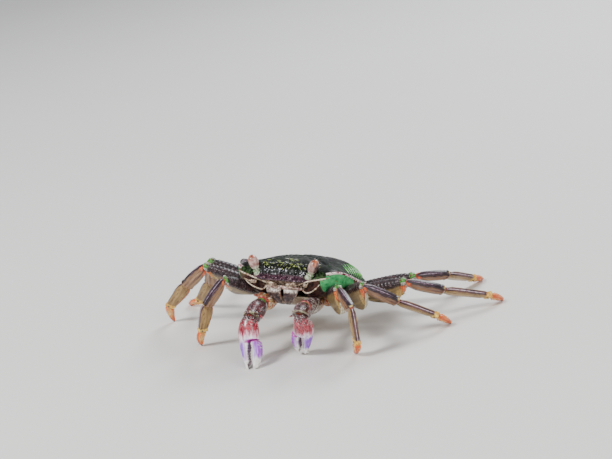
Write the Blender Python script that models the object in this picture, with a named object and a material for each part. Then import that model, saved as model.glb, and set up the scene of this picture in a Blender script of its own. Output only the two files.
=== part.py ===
"""A lightfoot shore crab (family Grapsidae), life size, as a still display model.

The animal stands on the tips of its eight walking legs and of its right claw, front raised, as it would on
a wet rock. Each plate of the shell is its own closed solid, with a thin gap to its neighbours. Sizes are
in metres and most are shares of the carapace width. The crab faces -Y, its left side is +X, and the floor
is at Z = 0.
"""

import math

import bmesh
import bpy
from mathutils import Matrix, Vector

# ---------------------------------------------------------------------------------------------
# Driving dimensions
# ---------------------------------------------------------------------------------------------
MM = 0.001
WIDTH = 42 * MM  # carapace at its widest; a length called a share below is a share of it
GAP = 0.3 * MM  # clearance between neighbouring plates

STANCE_OFFSET = (-0.35 * MM, -3.05 * MM)  # puts the middle of the footprint over the origin
BODY_HEIGHT = 20.5 * MM  # centre of the carapace, at the level of its side edge
BODY_YAW = 3.0  # degrees, head turned to its left
BODY_PITCH = 13.8  # degrees, front raised
BODY_ROLL = 5.2  # degrees, left side lowered

# Carapace, in shares
HALF_WIDTH = 0.5
HALF_LENGTH = 0.475
FRONT_SQUARENESS = 3.4  # superellipse powers: the front half is squarer than the rear
REAR_SQUARENESS = 2.3
DOME = 0.115  # height of the back above the side edge
FRONT_DROP = 0.035  # the front between the eyes turns down to this far below the side edge
FRONT_FULLNESS = 4.5  # keeps the back high up to the front, so that the front is steep
FRONT_HALF = (0.255, 0.33)  # where that drop starts to fade sideways, and where it has gone
CORNER_LIFT = 0.047  # the side edge is this much higher behind the eyes
CORNER = (-0.35, 0.13)  # where along the side that is, and how far it spreads
REAR_DROP = 0.095  # and this much lower from REAR_FALL[1] backwards
REAR_FALL = (-0.25, 0.18)
RIM_LEVEL = -0.165  # the carapace's lower rim
RIM_HALF = (0.355, 0.405)  # half width and half length of that rim
MOUTH_RISE = 0.066  # the rim is this much higher over the mouth
MOUTH_HALF = (0.150, 0.230)  # where that rise starts to fade sideways, and where it has gone
ORBIT_CENTRE = (0.322, -0.478, 0.022)
ORBIT_RADII = (0.084, 0.092, 0.050)

# Thorax under the carapace: level, half width, front reach and rear reach of each ring, in shares
THORAX_RINGS = (
    (-0.174, 0.285, 0.375, 0.350),
    (-0.215, 0.275, 0.345, 0.345),
    (-0.245, 0.240, 0.300, 0.315),
    (-0.266, 0.180, 0.230, 0.275),
    (-0.277, 0.110, 0.160, 0.215),
)

# Tail flap, along its own middle from the carapace's rear edge round under the thorax: place (y, z) and
# half width, in shares
TAIL_PATH = (
    (0.410, -0.190, 0.170),
    (0.418, -0.230, 0.165),
    (0.385, -0.262, 0.150),
    (0.320, -0.286, 0.130),
    (0.240, -0.297, 0.115),
    (0.100, -0.300, 0.085),
    (-0.030, -0.300, 0.052),
    (-0.110, -0.298, 0.022),
)
TAIL_THICKNESS = 0.024

# Eyes and feelers, in shares
EYE_CENTRE = (0.270, -0.422, 0.088)
EYE_RADII = (0.043, 0.043, 0.066)
EYE_LEAN = 24  # degrees, tops outwards
EYE_FOOT = 62  # degrees below its middle, where the eye ends in a flat foot
STALK_LENGTH = 0.050
STALK_RADIUS = 0.030
FEELER_BASE = (0.216, -0.476, -0.060)
FEELER_TIP = (0.285, -0.556, -0.030)
FEELER_RADIUS = (0.014, 0.007)

# Outer mouth plates: level, inner and outer half width, front face, in shares
MOUTH_PLATE = (
    (-0.108, 0.012, 0.142, -0.446),
    (-0.140, 0.014, 0.138, -0.449),
    (-0.172, 0.012, 0.116, -0.440),
    (-0.202, 0.010, 0.090, -0.424),
    (-0.228, 0.008, 0.068, -0.400),
    (-0.246, 0.008, 0.046, -0.370),
)
MOUTH_THICKNESS = 0.040

# Walking legs, first pair to fourth: hip on the body, and the lengths of the segments, in shares
HIPS = {
    1: (0.272, -0.135, -0.205),
    2: (0.305, 0.015, -0.205),
    3: (0.298, 0.165, -0.205),
    4: (0.245, 0.290, -0.200),
}
LEG_LENGTHS = {
    1: (0.12, 0.38, 0.27, 0.29, 0.17),
    2: (0.13, 0.48, 0.32, 0.35, 0.18),
    3: (0.13, 0.51, 0.35, 0.405, 0.16),
    4: (0.12, 0.50, 0.30, 0.365, 0.14),
}
SEGMENTS = ("coxa", "merus", "carpus", "propodus", "dactyl")
HIP_DEPTH = 0.07  # how far the first segment runs in towards the thorax, before it is cut to fit

# Pose of each leg in degrees: heading of the plane it bends in, back from straight out to the side;
# forward lean of that plane; slopes of merus, carpus, propodus and dactyl; turn of the broad merus
# about its own length
LEG_POSES = {
    "left_1": (-47, 2, (22, -18, -92, -132), 6),
    "left_2": (-12, 49, (34, -64, -50, -84), -30),
    "left_3": (10, 52, (21, -44, -30, -65), -22),
    "left_4": (29, 58, (12, -25, -49, -57), -12),
    "right_1": (-50, 28, (37, -58, -81, -89), 35),
    "right_2": (-5, 22, (28, -39, -44, -84), 15),
    "right_3": (5, 33, (32, -60, -45, -30), 0),
    "right_4": (36, 40, (9, -14, -40, -60), 0),
}

# Profile of each leg segment: place along it, half width to the outer side of the bend and to its inner
# side, and half thickness, in shares
LEG_PROFILES = {
    "coxa": ((0.0, 0.050, 0.052, 0.042), (0.55, 0.058, 0.066, 0.048), (1.0, 0.054, 0.062, 0.040)),
    "merus": (
        (0.0, 0.048, 0.066, 0.038),
        (0.18, 0.055, 0.122, 0.046),
        (0.42, 0.058, 0.168, 0.048),
        (0.66, 0.058, 0.180, 0.044),
        (0.86, 0.050, 0.142, 0.036),
        (1.0, 0.038, 0.070, 0.031),
    ),
    "carpus": (
        (0.0, 0.037, 0.042, 0.029),
        (0.25, 0.049, 0.053, 0.034),
        (0.65, 0.059, 0.059, 0.035),
        (1.0, 0.051, 0.053, 0.032),
    ),
    "propodus": (
        (0.0, 0.050, 0.053, 0.026),
        (0.2, 0.057, 0.060, 0.027),
        (0.6, 0.049, 0.053, 0.026),
        (0.9, 0.040, 0.042, 0.025),
        (1.0, 0.034, 0.036, 0.024),
    ),
    "dactyl": (
        (0.0, 0.030, 0.031, 0.022),
        (0.2, 0.034, 0.036, 0.024),
        (0.55, 0.026, 0.027, 0.019),
        (0.88, 0.018, 0.018, 0.015),
        (1.0, 0.012, 0.012, 0.011),
    ),
}
LEG_SIDES = 10
MERUS_DEPTH = {"right_1": 0.78, "right_2": 0.86}  # how deep the inner side is, as a share of the profile's

# Claws: shoulder, elbow, wrist and tip, in millimetres from the point of the floor under the body's centre
CLAW_JOINTS = {
    "left": ((10.6, -11.5, 12.6), (11.0, -23.9, 15.5), (14.2, -33.2, 16.4), (9.6, -27.2, 1.0)),
    "right": ((-7.9, -10.5, 13.4), (-6.0, -22.5, 16.4), (-5.4, -32.5, 15.0), (-3.1, -41.1, 0.0)),
}
HAND_SIZE = {"left": 0.94, "right": 1.0}  # of the sections below
ARM_SIZE = 0.86
CLAW_MERUS = ((0.0, 0.048, 0.050, 0.045), (0.5, 0.072, 0.080, 0.062), (1.0, 0.066, 0.070, 0.056))
CLAW_CARPUS = ((0.0, 0.066, 0.070, 0.060), (0.4, 0.090, 0.094, 0.077), (1.0, 0.076, 0.080, 0.068))
PALM = (
    (0.0, 0.050, 0.060, 0.051),
    (0.08, 0.058, 0.086, 0.063),
    (0.20, 0.063, 0.104, 0.071),
    (0.34, 0.066, 0.109, 0.071),
    (0.45, 0.070, 0.102, 0.064),
)
KNUCKLE = 0.45  # where the moving finger starts, as a share of wrist to tip
# Each finger: place along it, its inner and outer edge from the middle line, and half thickness
FIXED_FINGER = (
    (0.0, 0.002, 0.098, 0.058),
    (0.25, 0.006, 0.092, 0.054),
    (0.55, 0.012, 0.074, 0.046),
    (0.82, 0.010, 0.054, 0.038),
    (1.0, 0.008, 0.040, 0.024),
)
MOVING_FINGER = (
    (0.0, 0.002, 0.084, 0.056),
    (0.25, 0.008, 0.094, 0.054),
    (0.55, 0.014, 0.090, 0.048),
    (0.82, 0.014, 0.068, 0.038),
    (1.0, 0.010, 0.046, 0.024),
)


# ---------------------------------------------------------------------------------------------
# Small helpers
# ---------------------------------------------------------------------------------------------
def clear_scene():
    for obj in list(bpy.data.objects):
        bpy.data.objects.remove(obj)


def make_material(name, colour, roughness):
    material = bpy.data.materials.new(name)
    material.use_nodes = True
    shader = material.node_tree.nodes["Principled BSDF"]
    shader.inputs["Base Color"].default_value = (*colour, 1)
    shader.inputs["Roughness"].default_value = roughness
    return material


def smoothstep(low, high, value):
    """0 below low, 1 above high, and a smooth rise between."""
    t = min(1.0, max(0.0, (value - low) / (high - low)))
    return t * t * (3 - 2 * t)


def signed_power(value, exponent):
    return math.copysign(abs(value) ** exponent, value)


def turns(count):
    return [2 * math.pi * k / count for k in range(count)]


def add_mesh(name, points, faces, material):
    """A closed mesh object with its faces turned outwards."""
    mesh = bpy.data.meshes.new(name)
    mesh.from_pydata([tuple(p) for p in points], [], faces)
    edit = bmesh.new()
    edit.from_mesh(mesh)
    bmesh.ops.recalc_face_normals(edit, faces=edit.faces)
    edit.to_mesh(mesh)
    edit.free()
    mesh.shade_smooth()
    mesh.set_sharp_from_angle(angle=math.radians(50))
    if material:
        mesh.materials.append(material)
    obj = bpy.data.objects.new(name, mesh)
    bpy.context.scene.collection.objects.link(obj)
    return obj


def loft(name, rings, material, fans=(False, False)):
    """A closed skin over rings of equal length. An end is one flat face, or a fan round its middle."""
    sides = len(rings[0])
    points = [p for ring in rings for p in ring]
    faces = [
        (r * sides + k, r * sides + (k + 1) % sides, (r + 1) * sides + (k + 1) % sides, (r + 1) * sides + k)
        for r in range(len(rings) - 1)
        for k in range(sides)
    ]
    for fan, first in zip(fans, (0, (len(rings) - 1) * sides)):
        ring = list(range(first, first + sides))
        if fan:
            points.append(sum((Vector(points[k]) for k in ring), Vector()) / sides)
            faces += [(ring[k], ring[(k + 1) % sides], len(points) - 1) for k in range(sides)]
        else:
            faces.append(tuple(ring))
    return add_mesh(name, points, faces, material)


def helper(obj):
    """Keeps an object for cutting only."""
    obj.hide_render = True
    obj.display_type = "WIRE"
    return obj


def cut(obj, cutter):
    modifier = obj.modifiers.new(cutter.name, "BOOLEAN")
    modifier.operation = "DIFFERENCE"
    modifier.solver = "EXACT"
    modifier.object = cutter


def body_matrix():
    """From the body's own frame, centred in the carapace, to the floor frame."""
    yaw = Matrix.Rotation(math.radians(BODY_YAW), 4, "Z")
    pitch = Matrix.Rotation(-math.radians(BODY_PITCH), 4, "X")
    roll = Matrix.Rotation(math.radians(BODY_ROLL), 4, "Y")
    return Matrix.Translation((*STANCE_OFFSET, BODY_HEIGHT)) @ yaw @ pitch @ roll


BODY = body_matrix()


def on_body(x, y, z):
    """A place given in shares on the body, in the floor frame."""
    return BODY @ (Vector((x, y, z)) * WIDTH)


# ---------------------------------------------------------------------------------------------
# Carapace, thorax and tail
# ---------------------------------------------------------------------------------------------
def outline(turn, half_width, front, rear):
    """A point of a rounded outline: turn 0 is the middle of the front, a quarter turn the left side."""
    power = 2 / (FRONT_SQUARENESS if math.cos(turn) > 0 else REAR_SQUARENESS)
    reach = front if math.cos(turn) > 0 else rear
    return Vector((half_width * signed_power(math.sin(turn), power),
                   -reach * signed_power(math.cos(turn), power)))


def carapace_point(turn, station):
    """station runs from 0 at the top of the back to 1 at the side edge, then to 2 at the lower rim."""
    edge = outline(turn, HALF_WIDTH, HALF_LENGTH, HALF_LENGTH)
    front = smoothstep(-0.36, -0.44, edge.y) * (1 - smoothstep(*FRONT_HALF, abs(edge.x)))
    lift = CORNER_LIFT * math.exp(-(((edge.y - CORNER[0]) / CORNER[1]) ** 2)) * (1 - front)
    rear = smoothstep(*REAR_FALL, edge.y)
    edge_level = lift - FRONT_DROP * front - REAR_DROP * rear
    if station <= 1:
        turned_down = front * smoothstep(0.86, 1.0, station)
        level = DOME * (1 - station ** (2.6 + FRONT_FULLNESS * front)) + lift * smoothstep(0.5, 1.0, station)
        level -= FRONT_DROP * turned_down + REAR_DROP * rear * station**6
        return edge.x * station, edge.y * station, level
    rim = outline(turn, RIM_HALF[0], RIM_HALF[1], RIM_HALF[1])
    share = station - 1
    bulge = 1 + math.sin(math.pi * share) * (0.09 - 0.14 * front)
    flat = edge.lerp(rim, share) * bulge
    mouth = smoothstep(-0.28, -0.38, rim.y) * (1 - smoothstep(*MOUTH_HALF, abs(rim.x)))
    return flat.x, flat.y, edge_level + (RIM_LEVEL + MOUTH_RISE * mouth - edge_level) * share


def build_carapace(material):
    stations = (0.18, 0.38, 0.58, 0.76, 0.88, 0.94, 1.0, 1.22, 1.6, 2.0)
    rings = [[on_body(*carapace_point(t, s)) for t in turns(52)] for s in stations]
    shell = loft("carapace", rings, material, fans=(True, True))
    for side, word in ((1, "left"), (-1, "right")):
        cut(shell, build_orbit(f"orbit_{word}", side))
        cut(shell, helper(loft(f"eye_room_{word}", eye_rings(side, GAP), None, fans=(True, True))))
        cut(shell, helper(build_stalk(f"stalk_room_{word}", side, GAP, None)))
    return shell


def build_orbit(name, side):
    """The hollow that an eye stands in."""
    levels = [math.radians(a) for a in (-72, -48, -24, 0, 24, 48, 72)]
    x, y, z = ORBIT_CENTRE
    rings = [
        [
            on_body(
                side * x + ORBIT_RADII[0] * math.cos(a) * math.cos(t),
                y + ORBIT_RADII[1] * math.cos(a) * math.sin(t),
                z + ORBIT_RADII[2] * math.sin(a),
            )
            for t in turns(14)
        ]
        for a in levels
    ]
    return helper(loft(name, rings, None, fans=(True, True)))


def thorax_rings(clearance):
    grown = clearance / WIDTH
    rings = [[half + grown, front + grown, rear + grown] for _, half, front, rear in THORAX_RINGS]
    levels = [level for level, *_ in THORAX_RINGS]
    levels[0] += grown
    levels[-1] -= grown
    return [
        [on_body(*outline(t, *sizes), level) for t in turns(32)] for sizes, level in zip(rings, levels)
    ]


def build_thorax(material):
    return loft("thorax", thorax_rings(0), material, fans=(False, True))


def build_tail(material):
    """The narrow tail flap of a male, folded under the thorax."""
    rings = []
    for k, (y, z, half) in enumerate(TAIL_PATH):
        y0, z0, _ = TAIL_PATH[max(0, k - 1)]
        y1, z1, _ = TAIL_PATH[min(len(TAIL_PATH) - 1, k + 1)]
        along = Vector((y1 - y0, z1 - z0)).normalized()
        out = Vector((-along.y, along.x)) * (-TAIL_THICKNESS / 2)
        section = ((-1, -1), (1, -1), (1, 0), (0.8, 1), (0, 1.15), (-0.8, 1), (-1, 0))
        rings.append([on_body(half * across, y - out.x * depth, z - out.y * depth) for across, depth in section])
    return loft("abdomen", rings, material)


# ---------------------------------------------------------------------------------------------
# Eyes, feelers and mouth
# ---------------------------------------------------------------------------------------------
def tube(name, start, end, radii, material, sides=10, flat=1.0):
    """A straight round piece from start to end."""
    axis = (end - start).normalized()
    across = axis.cross(Vector((0, 1, 0.2))).normalized()
    other = axis.cross(across)
    rings = [
        [start.lerp(end, s) + (across * math.cos(t) + other * math.sin(t) * flat) * r for t in turns(sides)]
        for s, r in radii
    ]
    return loft(name, rings, material)


def eye_rings(side, clearance):
    """Rings of an eye, from its flat foot up, grown by a clearance."""
    centre = Vector((side * EYE_CENTRE[0], EYE_CENTRE[1], EYE_CENTRE[2]))
    lean = Matrix.Rotation(side * math.radians(EYE_LEAN), 3, "Y")
    radii = [r + clearance / WIDTH for r in EYE_RADII]
    return [
        [
            on_body(*(centre + lean @ Vector((
                radii[0] * math.cos(a) * math.cos(t),
                radii[1] * math.cos(a) * math.sin(t),
                radii[2] * math.sin(a),
            ))))
            for t in turns(14)
        ]
        for a in (math.radians(d) for d in (-EYE_FOOT, -40, -14, 14, 40, 66))
    ]


def build_stalk(name, side, clearance, material):
    """The short stalk under the foot of an eye, in line with it, grown by a clearance."""
    rings = eye_rings(side, 0)
    foot, above = (sum(ring, Vector()) / len(ring) for ring in rings[:2])
    along = (above - foot).normalized()
    end = foot - along * (GAP - clearance)
    base = end - along * (STALK_LENGTH * WIDTH + 2 * clearance)
    radius = STALK_RADIUS * WIDTH + clearance
    return tube(name, base, end, ((0, radius * 1.1), (0.5, radius), (1, radius * 0.9)), material)


def build_feeler(word, side, material):
    base = on_body(side * FEELER_BASE[0], *FEELER_BASE[1:])
    tip = on_body(side * FEELER_TIP[0], *FEELER_TIP[1:])
    thick, thin = (r * WIDTH for r in FEELER_RADIUS)
    tube(f"antenna_{word}", base, tip, ((0, thick), (0.4, thick), (0.5, thin * 1.1), (1, thin)), material, sides=8)


def build_mouth_plate(word, side, material):
    rings = []
    for level, inner, outer, front in MOUTH_PLATE:
        middle, half = (inner + outer) / 2, (outer - inner) / 2
        section = ((-1, 0), (-0.8, -0.75), (0, -1), (0.8, -0.75), (1, 0), (1, 1), (-1, 1))
        rings.append([
            on_body(side * (middle + half * across), front + MOUTH_THICKNESS * (0.5 + depth / 2), level)
            for across, depth in section
        ])
    return loft(f"maxilliped_{word}", rings, material)


# ---------------------------------------------------------------------------------------------
# Segments of legs and claws
# ---------------------------------------------------------------------------------------------
def segment_rings(start, end, cuts, gaps, wide, profile, sides=LEG_SIDES):
    """Rings of one segment between two flat cuts, each cut given by its normal and its clearance.

    wide points to the outer side of the bend. A profile row holds a place along the segment, the half
    widths to the outer and the inner side, and the half thickness.
    """
    axis = (end - start).normalized()
    across = axis.cross(wide).normalized()
    wide = across.cross(axis)
    length = (end - start).length
    rings = []
    for t, outer, inner, thick in profile:
        ring = []
        for turn in turns(sides):
            reach = (outer if math.cos(turn) > 0 else inner) * math.cos(turn)
            off = (wide * reach + across * thick * signed_power(math.sin(turn), 0.85)) * WIDTH
            first = (gaps[0] - off.dot(cuts[0])) / axis.dot(cuts[0])
            last = length - (gaps[1] + off.dot(cuts[1])) / axis.dot(cuts[1])
            ring.append(start + off + axis * (first + (last - first) * t))
        rings.append(ring)
    return rings


def shared_cut(before, joint, after):
    """Normal of the plane in which two neighbouring segments meet."""
    return ((joint - before).normalized() + (after - joint).normalized()).normalized()


# ---------------------------------------------------------------------------------------------
# Walking legs
# ---------------------------------------------------------------------------------------------
def leg_plane(side, heading, lean):
    """Outward and upward unit vectors of the plane that a leg bends in."""
    heading, lean = math.radians(heading), math.radians(lean)
    out = Vector((side * math.cos(heading), math.sin(heading), 0))
    up = Vector((0, 0, 1))
    back = up.cross(out) * side
    return out, math.cos(lean) * up - math.sin(lean) * back


def leg_joints(hip, plane, lengths, slopes, settle):
    """The hip and the far end of each segment, with coxa and merus turned down by settle degrees."""
    out, upward = plane
    points = [hip]
    for length, slope in zip(lengths, (slopes[0] - settle, slopes[0] - settle, *slopes[1:])):
        angle = math.radians(slope)
        points.append(points[-1] + (out * math.cos(angle) + upward * math.sin(angle)) * length * WIDTH)
    return points


def settle_angle(hip, plane, lengths, slopes):
    """How far coxa and merus turn down before the tip touches the floor."""
    low, high = -25.0, 25.0
    for _ in range(40):
        middle = (low + high) / 2
        if leg_joints(hip, plane, lengths, slopes, middle)[-1].z > 0:
            low = middle
        else:
            high = middle
    return (low + high) / 2


def build_leg(name, material, tip_material, cutters):
    side = 1 if name.startswith("left") else -1
    pair = int(name[-1])
    heading, lean, slopes, turn = LEG_POSES[name]
    out, upward = plane = leg_plane(side, heading, lean)
    hip = on_body(side * HIPS[pair][0], *HIPS[pair][1:])
    settle = settle_angle(hip, plane, LEG_LENGTHS[pair], slopes)
    joints = leg_joints(hip, plane, LEG_LENGTHS[pair], slopes, settle)
    joints[0] = joints[0] - (joints[1] - joints[0]).normalized() * HIP_DEPTH * WIDTH
    floor = Vector((0, 0, -1))
    cuts = [(joints[1] - joints[0]).normalized()]
    cuts += [shared_cut(*joints[k - 1 : k + 2]) for k in range(1, 5)] + [floor]
    clearances = [GAP / 2] * 5 + [0]
    for k, segment in enumerate(SEGMENTS):
        axis = (joints[k + 1] - joints[k]).normalized()
        wide = upward * axis.dot(out) - out * axis.dot(upward)
        share = {"coxa": 0.5, "merus": 1, "carpus": 0.35}.get(segment, 0)
        wide = Matrix.Rotation(side * share * math.radians(turn), 3, axis) @ wide
        depth = MERUS_DEPTH.get(name, 1) if segment == "merus" else 1
        profile = [(t, outer, inner * depth, thick) for t, outer, inner, thick in LEG_PROFILES[segment]]
        rings = segment_rings(joints[k], joints[k + 1], cuts[k : k + 2], clearances[k : k + 2], wide, profile)
        piece = loft(f"leg_{name}_{segment}", rings, tip_material if segment == "dactyl" else material)
        if segment in ("coxa", "merus"):
            for cutter in cutters:
                cut(piece, cutter)


# ---------------------------------------------------------------------------------------------
# Claws
# ---------------------------------------------------------------------------------------------
def build_claw(word, material, cutters):
    shoulder, elbow, wrist, tip = (Vector(p) * MM + Vector((*STANCE_OFFSET, 0)) for p in CLAW_JOINTS[word])
    medial = Vector((-1 if word == "left" else 1, 0, 0))
    names = ("merus", "carpus")
    joints = [shoulder, elbow, wrist, tip]
    cuts = [(elbow - shoulder).normalized(), shared_cut(shoulder, elbow, wrist), shared_cut(elbow, wrist, tip)]
    for k, profile in enumerate((CLAW_MERUS, CLAW_CARPUS)):
        rows = [(t, *(v * ARM_SIZE for v in row)) for t, *row in profile]
        rings = segment_rings(joints[k], joints[k + 1], cuts[k : k + 2], (GAP / 2, GAP / 2), Vector((0, 0, 1)), rows, 14)
        piece = loft(f"claw_{word}_{names[k]}", rings, material)
        if k == 0:
            for cutter in cutters:
                cut(piece, cutter)
    build_hand(word, wrist, tip, cuts[2], medial, HAND_SIZE[word], material)


def build_hand(word, wrist, tip, wrist_cut, medial, scale, material):
    """The palm with its fixed finger on the outer side, and the moving finger on the inner side."""
    axis = (tip - wrist).normalized()
    wide = (medial - axis * medial.dot(axis)).normalized()
    across = axis.cross(wide)
    length = (tip - wrist).length
    palm_end = length * KNUCKLE
    rows = [(t / PALM[-1][0], *(v * scale for v in row)) for t, *row in PALM]
    rings = segment_rings(wrist, wrist + axis * palm_end, (wrist_cut, axis), (GAP / 2, 0), wide, rows, 14)
    for sign, name, profile in ((-1, "fixed", FIXED_FINGER), (1, "moving", MOVING_FINGER)):
        finger = []
        for t, inner, outer, thick in profile:
            middle, half = (inner + outer) / 2, (outer - inner) / 2
            place = wrist + axis * (palm_end + (length - palm_end) * t)
            if sign > 0:
                place = place + axis * GAP * 1.2 * (1 - t)
            ring = []
            for turn in turns(14):
                reach = sign * (middle * scale + half * scale * math.cos(turn))
                off = (wide * reach + across * thick * scale * math.sin(turn)) * WIDTH
                ring.append(place + off)
            if t == 1:
                ring = [Vector((p.x, p.y, max(tip.z, 0))) for p in ring]
            finger.append(ring)
        if name == "moving":
            loft(f"claw_{word}_finger", finger, material)
        else:
            fixed = finger
    palm = loft(f"claw_{word}_palm", rings, material)
    spur = helper(loft(f"spur_{word}", [[p - axis * 0.6 * MM for p in fixed[0]]] + fixed, None))
    join = palm.modifiers.new("fixed_finger", "BOOLEAN")
    join.operation = "UNION"
    join.solver = "EXACT"
    join.object = spur


def main():
    clear_scene()
    shell = make_material("carapace_shell", (0.02, 0.035, 0.02), 0.35)
    belly = make_material("belly_shell", (0.5, 0.45, 0.36), 0.5)
    mouth = make_material("mouth_shell", (0.45, 0.36, 0.33), 0.5)
    leg = make_material("leg_shell", (0.16, 0.07, 0.06), 0.4)
    tip = make_material("leg_tip", (0.7, 0.32, 0.08), 0.45)
    claw = make_material("claw_shell", (0.42, 0.10, 0.14), 0.35)
    eye = make_material("eye", (0.55, 0.38, 0.32), 0.2)
    carapace = build_carapace(shell)
    build_thorax(belly)
    build_tail(belly)
    carapace_room = [[on_body(*(c * (1 + GAP / WIDTH / 0.4) for c in carapace_point(t, s))) for t in turns(52)]
                     for s in (0.38, 0.76, 0.94, 1.0, 1.22, 1.6, 2.0)]
    cutters = [
        helper(loft("thorax_room", thorax_rings(GAP), None, fans=(True, True))),
        helper(loft("carapace_room", carapace_room, None, fans=(True, True))),
    ]
    for side, word in ((1, "left"), (-1, "right")):
        loft(f"eye_{word}", eye_rings(side, 0), eye, fans=(False, True))
        build_stalk(f"eyestalk_{word}", side, 0, mouth)
        build_feeler(word, side, mouth)
        build_mouth_plate(word, side, mouth)
        build_claw(word, claw, cutters)
    for name in LEG_POSES:
        build_leg(name, leg, tip, cutters)


main()
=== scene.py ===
# %% [markdown]
# # A lightfoot shore crab, life size
# A display model of a living crab on a pale floor, built in Blender from code.
# The solid model is loaded first as a fixed frame. Each plate of the shell is then made again,
# finely, in the place of its solid. Sizes are metres, and most are shares of the shell's width.

# %% The solid model
import math

import bpy
import numpy as np
from mathutils import Matrix, Vector
from mathutils.bvhtree import BVHTree


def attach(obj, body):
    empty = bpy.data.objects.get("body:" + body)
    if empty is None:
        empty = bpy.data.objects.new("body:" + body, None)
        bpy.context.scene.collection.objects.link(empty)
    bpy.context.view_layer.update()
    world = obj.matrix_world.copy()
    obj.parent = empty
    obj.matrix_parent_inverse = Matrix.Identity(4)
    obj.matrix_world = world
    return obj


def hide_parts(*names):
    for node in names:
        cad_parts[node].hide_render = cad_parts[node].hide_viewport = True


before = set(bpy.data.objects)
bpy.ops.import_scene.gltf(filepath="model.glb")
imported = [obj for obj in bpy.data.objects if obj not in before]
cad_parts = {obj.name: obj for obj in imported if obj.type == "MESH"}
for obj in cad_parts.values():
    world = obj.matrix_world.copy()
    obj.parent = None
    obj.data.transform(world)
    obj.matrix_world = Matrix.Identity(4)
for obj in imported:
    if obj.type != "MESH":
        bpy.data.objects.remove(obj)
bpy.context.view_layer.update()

# %% [markdown]
# The body has a frame of its own: x to its left, y backwards, z up, from the middle of the back
# shell. It stands nose up and leaning a little to its left. Writing places in that frame, as
# shares of the shell's width, keeps both sides alike and puts the pose in one matrix.

# %% The body's own frame
MM = 0.001
WIDTH = 42 * MM
STANCE = Vector((-0.35 * MM, -3.05 * MM, 0))
MIDDLE = STANCE + Vector((0, 0, 20.5 * MM))
HEADING, NOSE_UP, TO_LEFT = (math.radians(v) for v in (3.0, 13.8, 5.2))
BODY = (
    Matrix.Translation(MIDDLE) @ Matrix.Rotation(HEADING, 4, "Z")
    @ Matrix.Rotation(-NOSE_UP, 4, "X") @ Matrix.Rotation(TO_LEFT, 4, "Y")
)
BODY_TURN, BODY_PLACE = np.array(BODY.to_3x3()), np.array(BODY.translation)
SIDES = {"left": 1, "right": -1}


def on_body(places):
    """Places on the body in shares, to metres over the floor."""
    return np.asarray(places, float) * WIDTH @ BODY_TURN.T + BODY_PLACE


def off_body(points):
    """The way back: metres over the floor to shares on the body."""
    return (np.asarray(points) - BODY_PLACE) @ BODY_TURN / WIDTH


print("middle of the back:", on_body([[0, 0, 0]]).round(4).tolist())

# %% [markdown]
# The stage is a wide pale disc, three soft lamps and a pale sky. A wide disc needs no wall
# behind it, because from the camera's height only floor is seen. The camera looks slightly
# down from the crab's front left, and leans a little.

# %% Camera, floor and lamps
CAMERA_TURN, CAMERA_RISE, CAMERA_LEAN = (math.radians(v) for v in (29.6, 17.7, -9.45))
CAMERA_AWAY, CAMERA_LENS = 0.598, 100
AIM_UP, AIM_RIGHT = 14.2 * MM, 0.4 * MM


def new_object(name, data):
    """A new object, linked to the scene."""
    obj = bpy.data.objects.new(name, data)
    bpy.context.scene.collection.objects.link(obj)
    return obj


def add_camera():
    level = math.cos(CAMERA_RISE)
    back = Vector((math.sin(CAMERA_TURN) * level, -math.cos(CAMERA_TURN) * level, math.sin(CAMERA_RISE)))
    right = Vector((math.cos(CAMERA_TURN), math.sin(CAMERA_TURN), 0))
    up = right.cross(-back)
    lean_right = right * math.cos(CAMERA_LEAN) + up * math.sin(CAMERA_LEAN)
    lean_up = up * math.cos(CAMERA_LEAN) - right * math.sin(CAMERA_LEAN)
    place = MIDDLE + back * CAMERA_AWAY
    towards = (MIDDLE + lean_up * AIM_UP + lean_right * AIM_RIGHT - place).normalized()
    side = towards.cross(lean_up).normalized()
    axes = Matrix((side, side.cross(towards), -towards)).transposed()
    camera = new_object("camera", bpy.data.cameras.new("camera"))
    camera.matrix_world = Matrix.Translation(place) @ axes.to_4x4()
    camera.data.lens = CAMERA_LENS
    camera.data.clip_start = 0.01
    bpy.context.scene.camera = camera


def add_lamp(name, place, size, power, colour=(1, 1, 1)):
    lamp = new_object(name, bpy.data.lights.new(name, "AREA"))
    lamp.data.shape, lamp.data.size = "DISK", size
    lamp.data.energy, lamp.data.color = power, colour
    lamp.location = place
    lamp.rotation_euler = (Vector((0, 0, 0.015)) - Vector(place)).to_track_quat("-Z", "Y").to_euler()


add_camera()
add_lamp("key_lamp", (-0.35, -0.55, 0.75), 0.28, 9)
add_lamp("fill_lamp", (0.75, -0.45, 0.45), 0.7, 5, (1, 0.97, 0.93))
add_lamp("rim_lamp", (0.1, 0.75, 0.6), 0.45, 7, (0.93, 0.97, 1))
world = bpy.data.worlds.new("soft_sky")
bpy.context.scene.world = world
world.use_nodes = True
sky = world.node_tree.nodes["Background"].inputs
sky["Color"].default_value, sky["Strength"].default_value = (0.80, 0.82, 0.86, 1), 0.55
bpy.ops.mesh.primitive_circle_add(vertices=96, radius=4, fill_type="NGON")
floor = bpy.context.object
floor.name = "floor"
print("camera at", [round(v, 3) for v in bpy.context.scene.camera.location])

# %% [markdown]
# A finish here is a network of shader nodes. Written as plain sums it stays readable, so one
# small class holds a socket and turns arithmetic on it into Math nodes. Every other node comes
# from its one node method. The same class serves the Geometry Nodes further down.

# %% Sockets that can be added and multiplied
def paint(red, green, blue):
    """A colour from the usual 0 to 255 numbers, as light values."""
    shares = [v / 255 for v in (red, green, blue)]
    return tuple(v / 12.92 if v <= 10 / 255 else ((v + 0.055) / 1.055) ** 2.4 for v in shares) + (1,)


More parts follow.
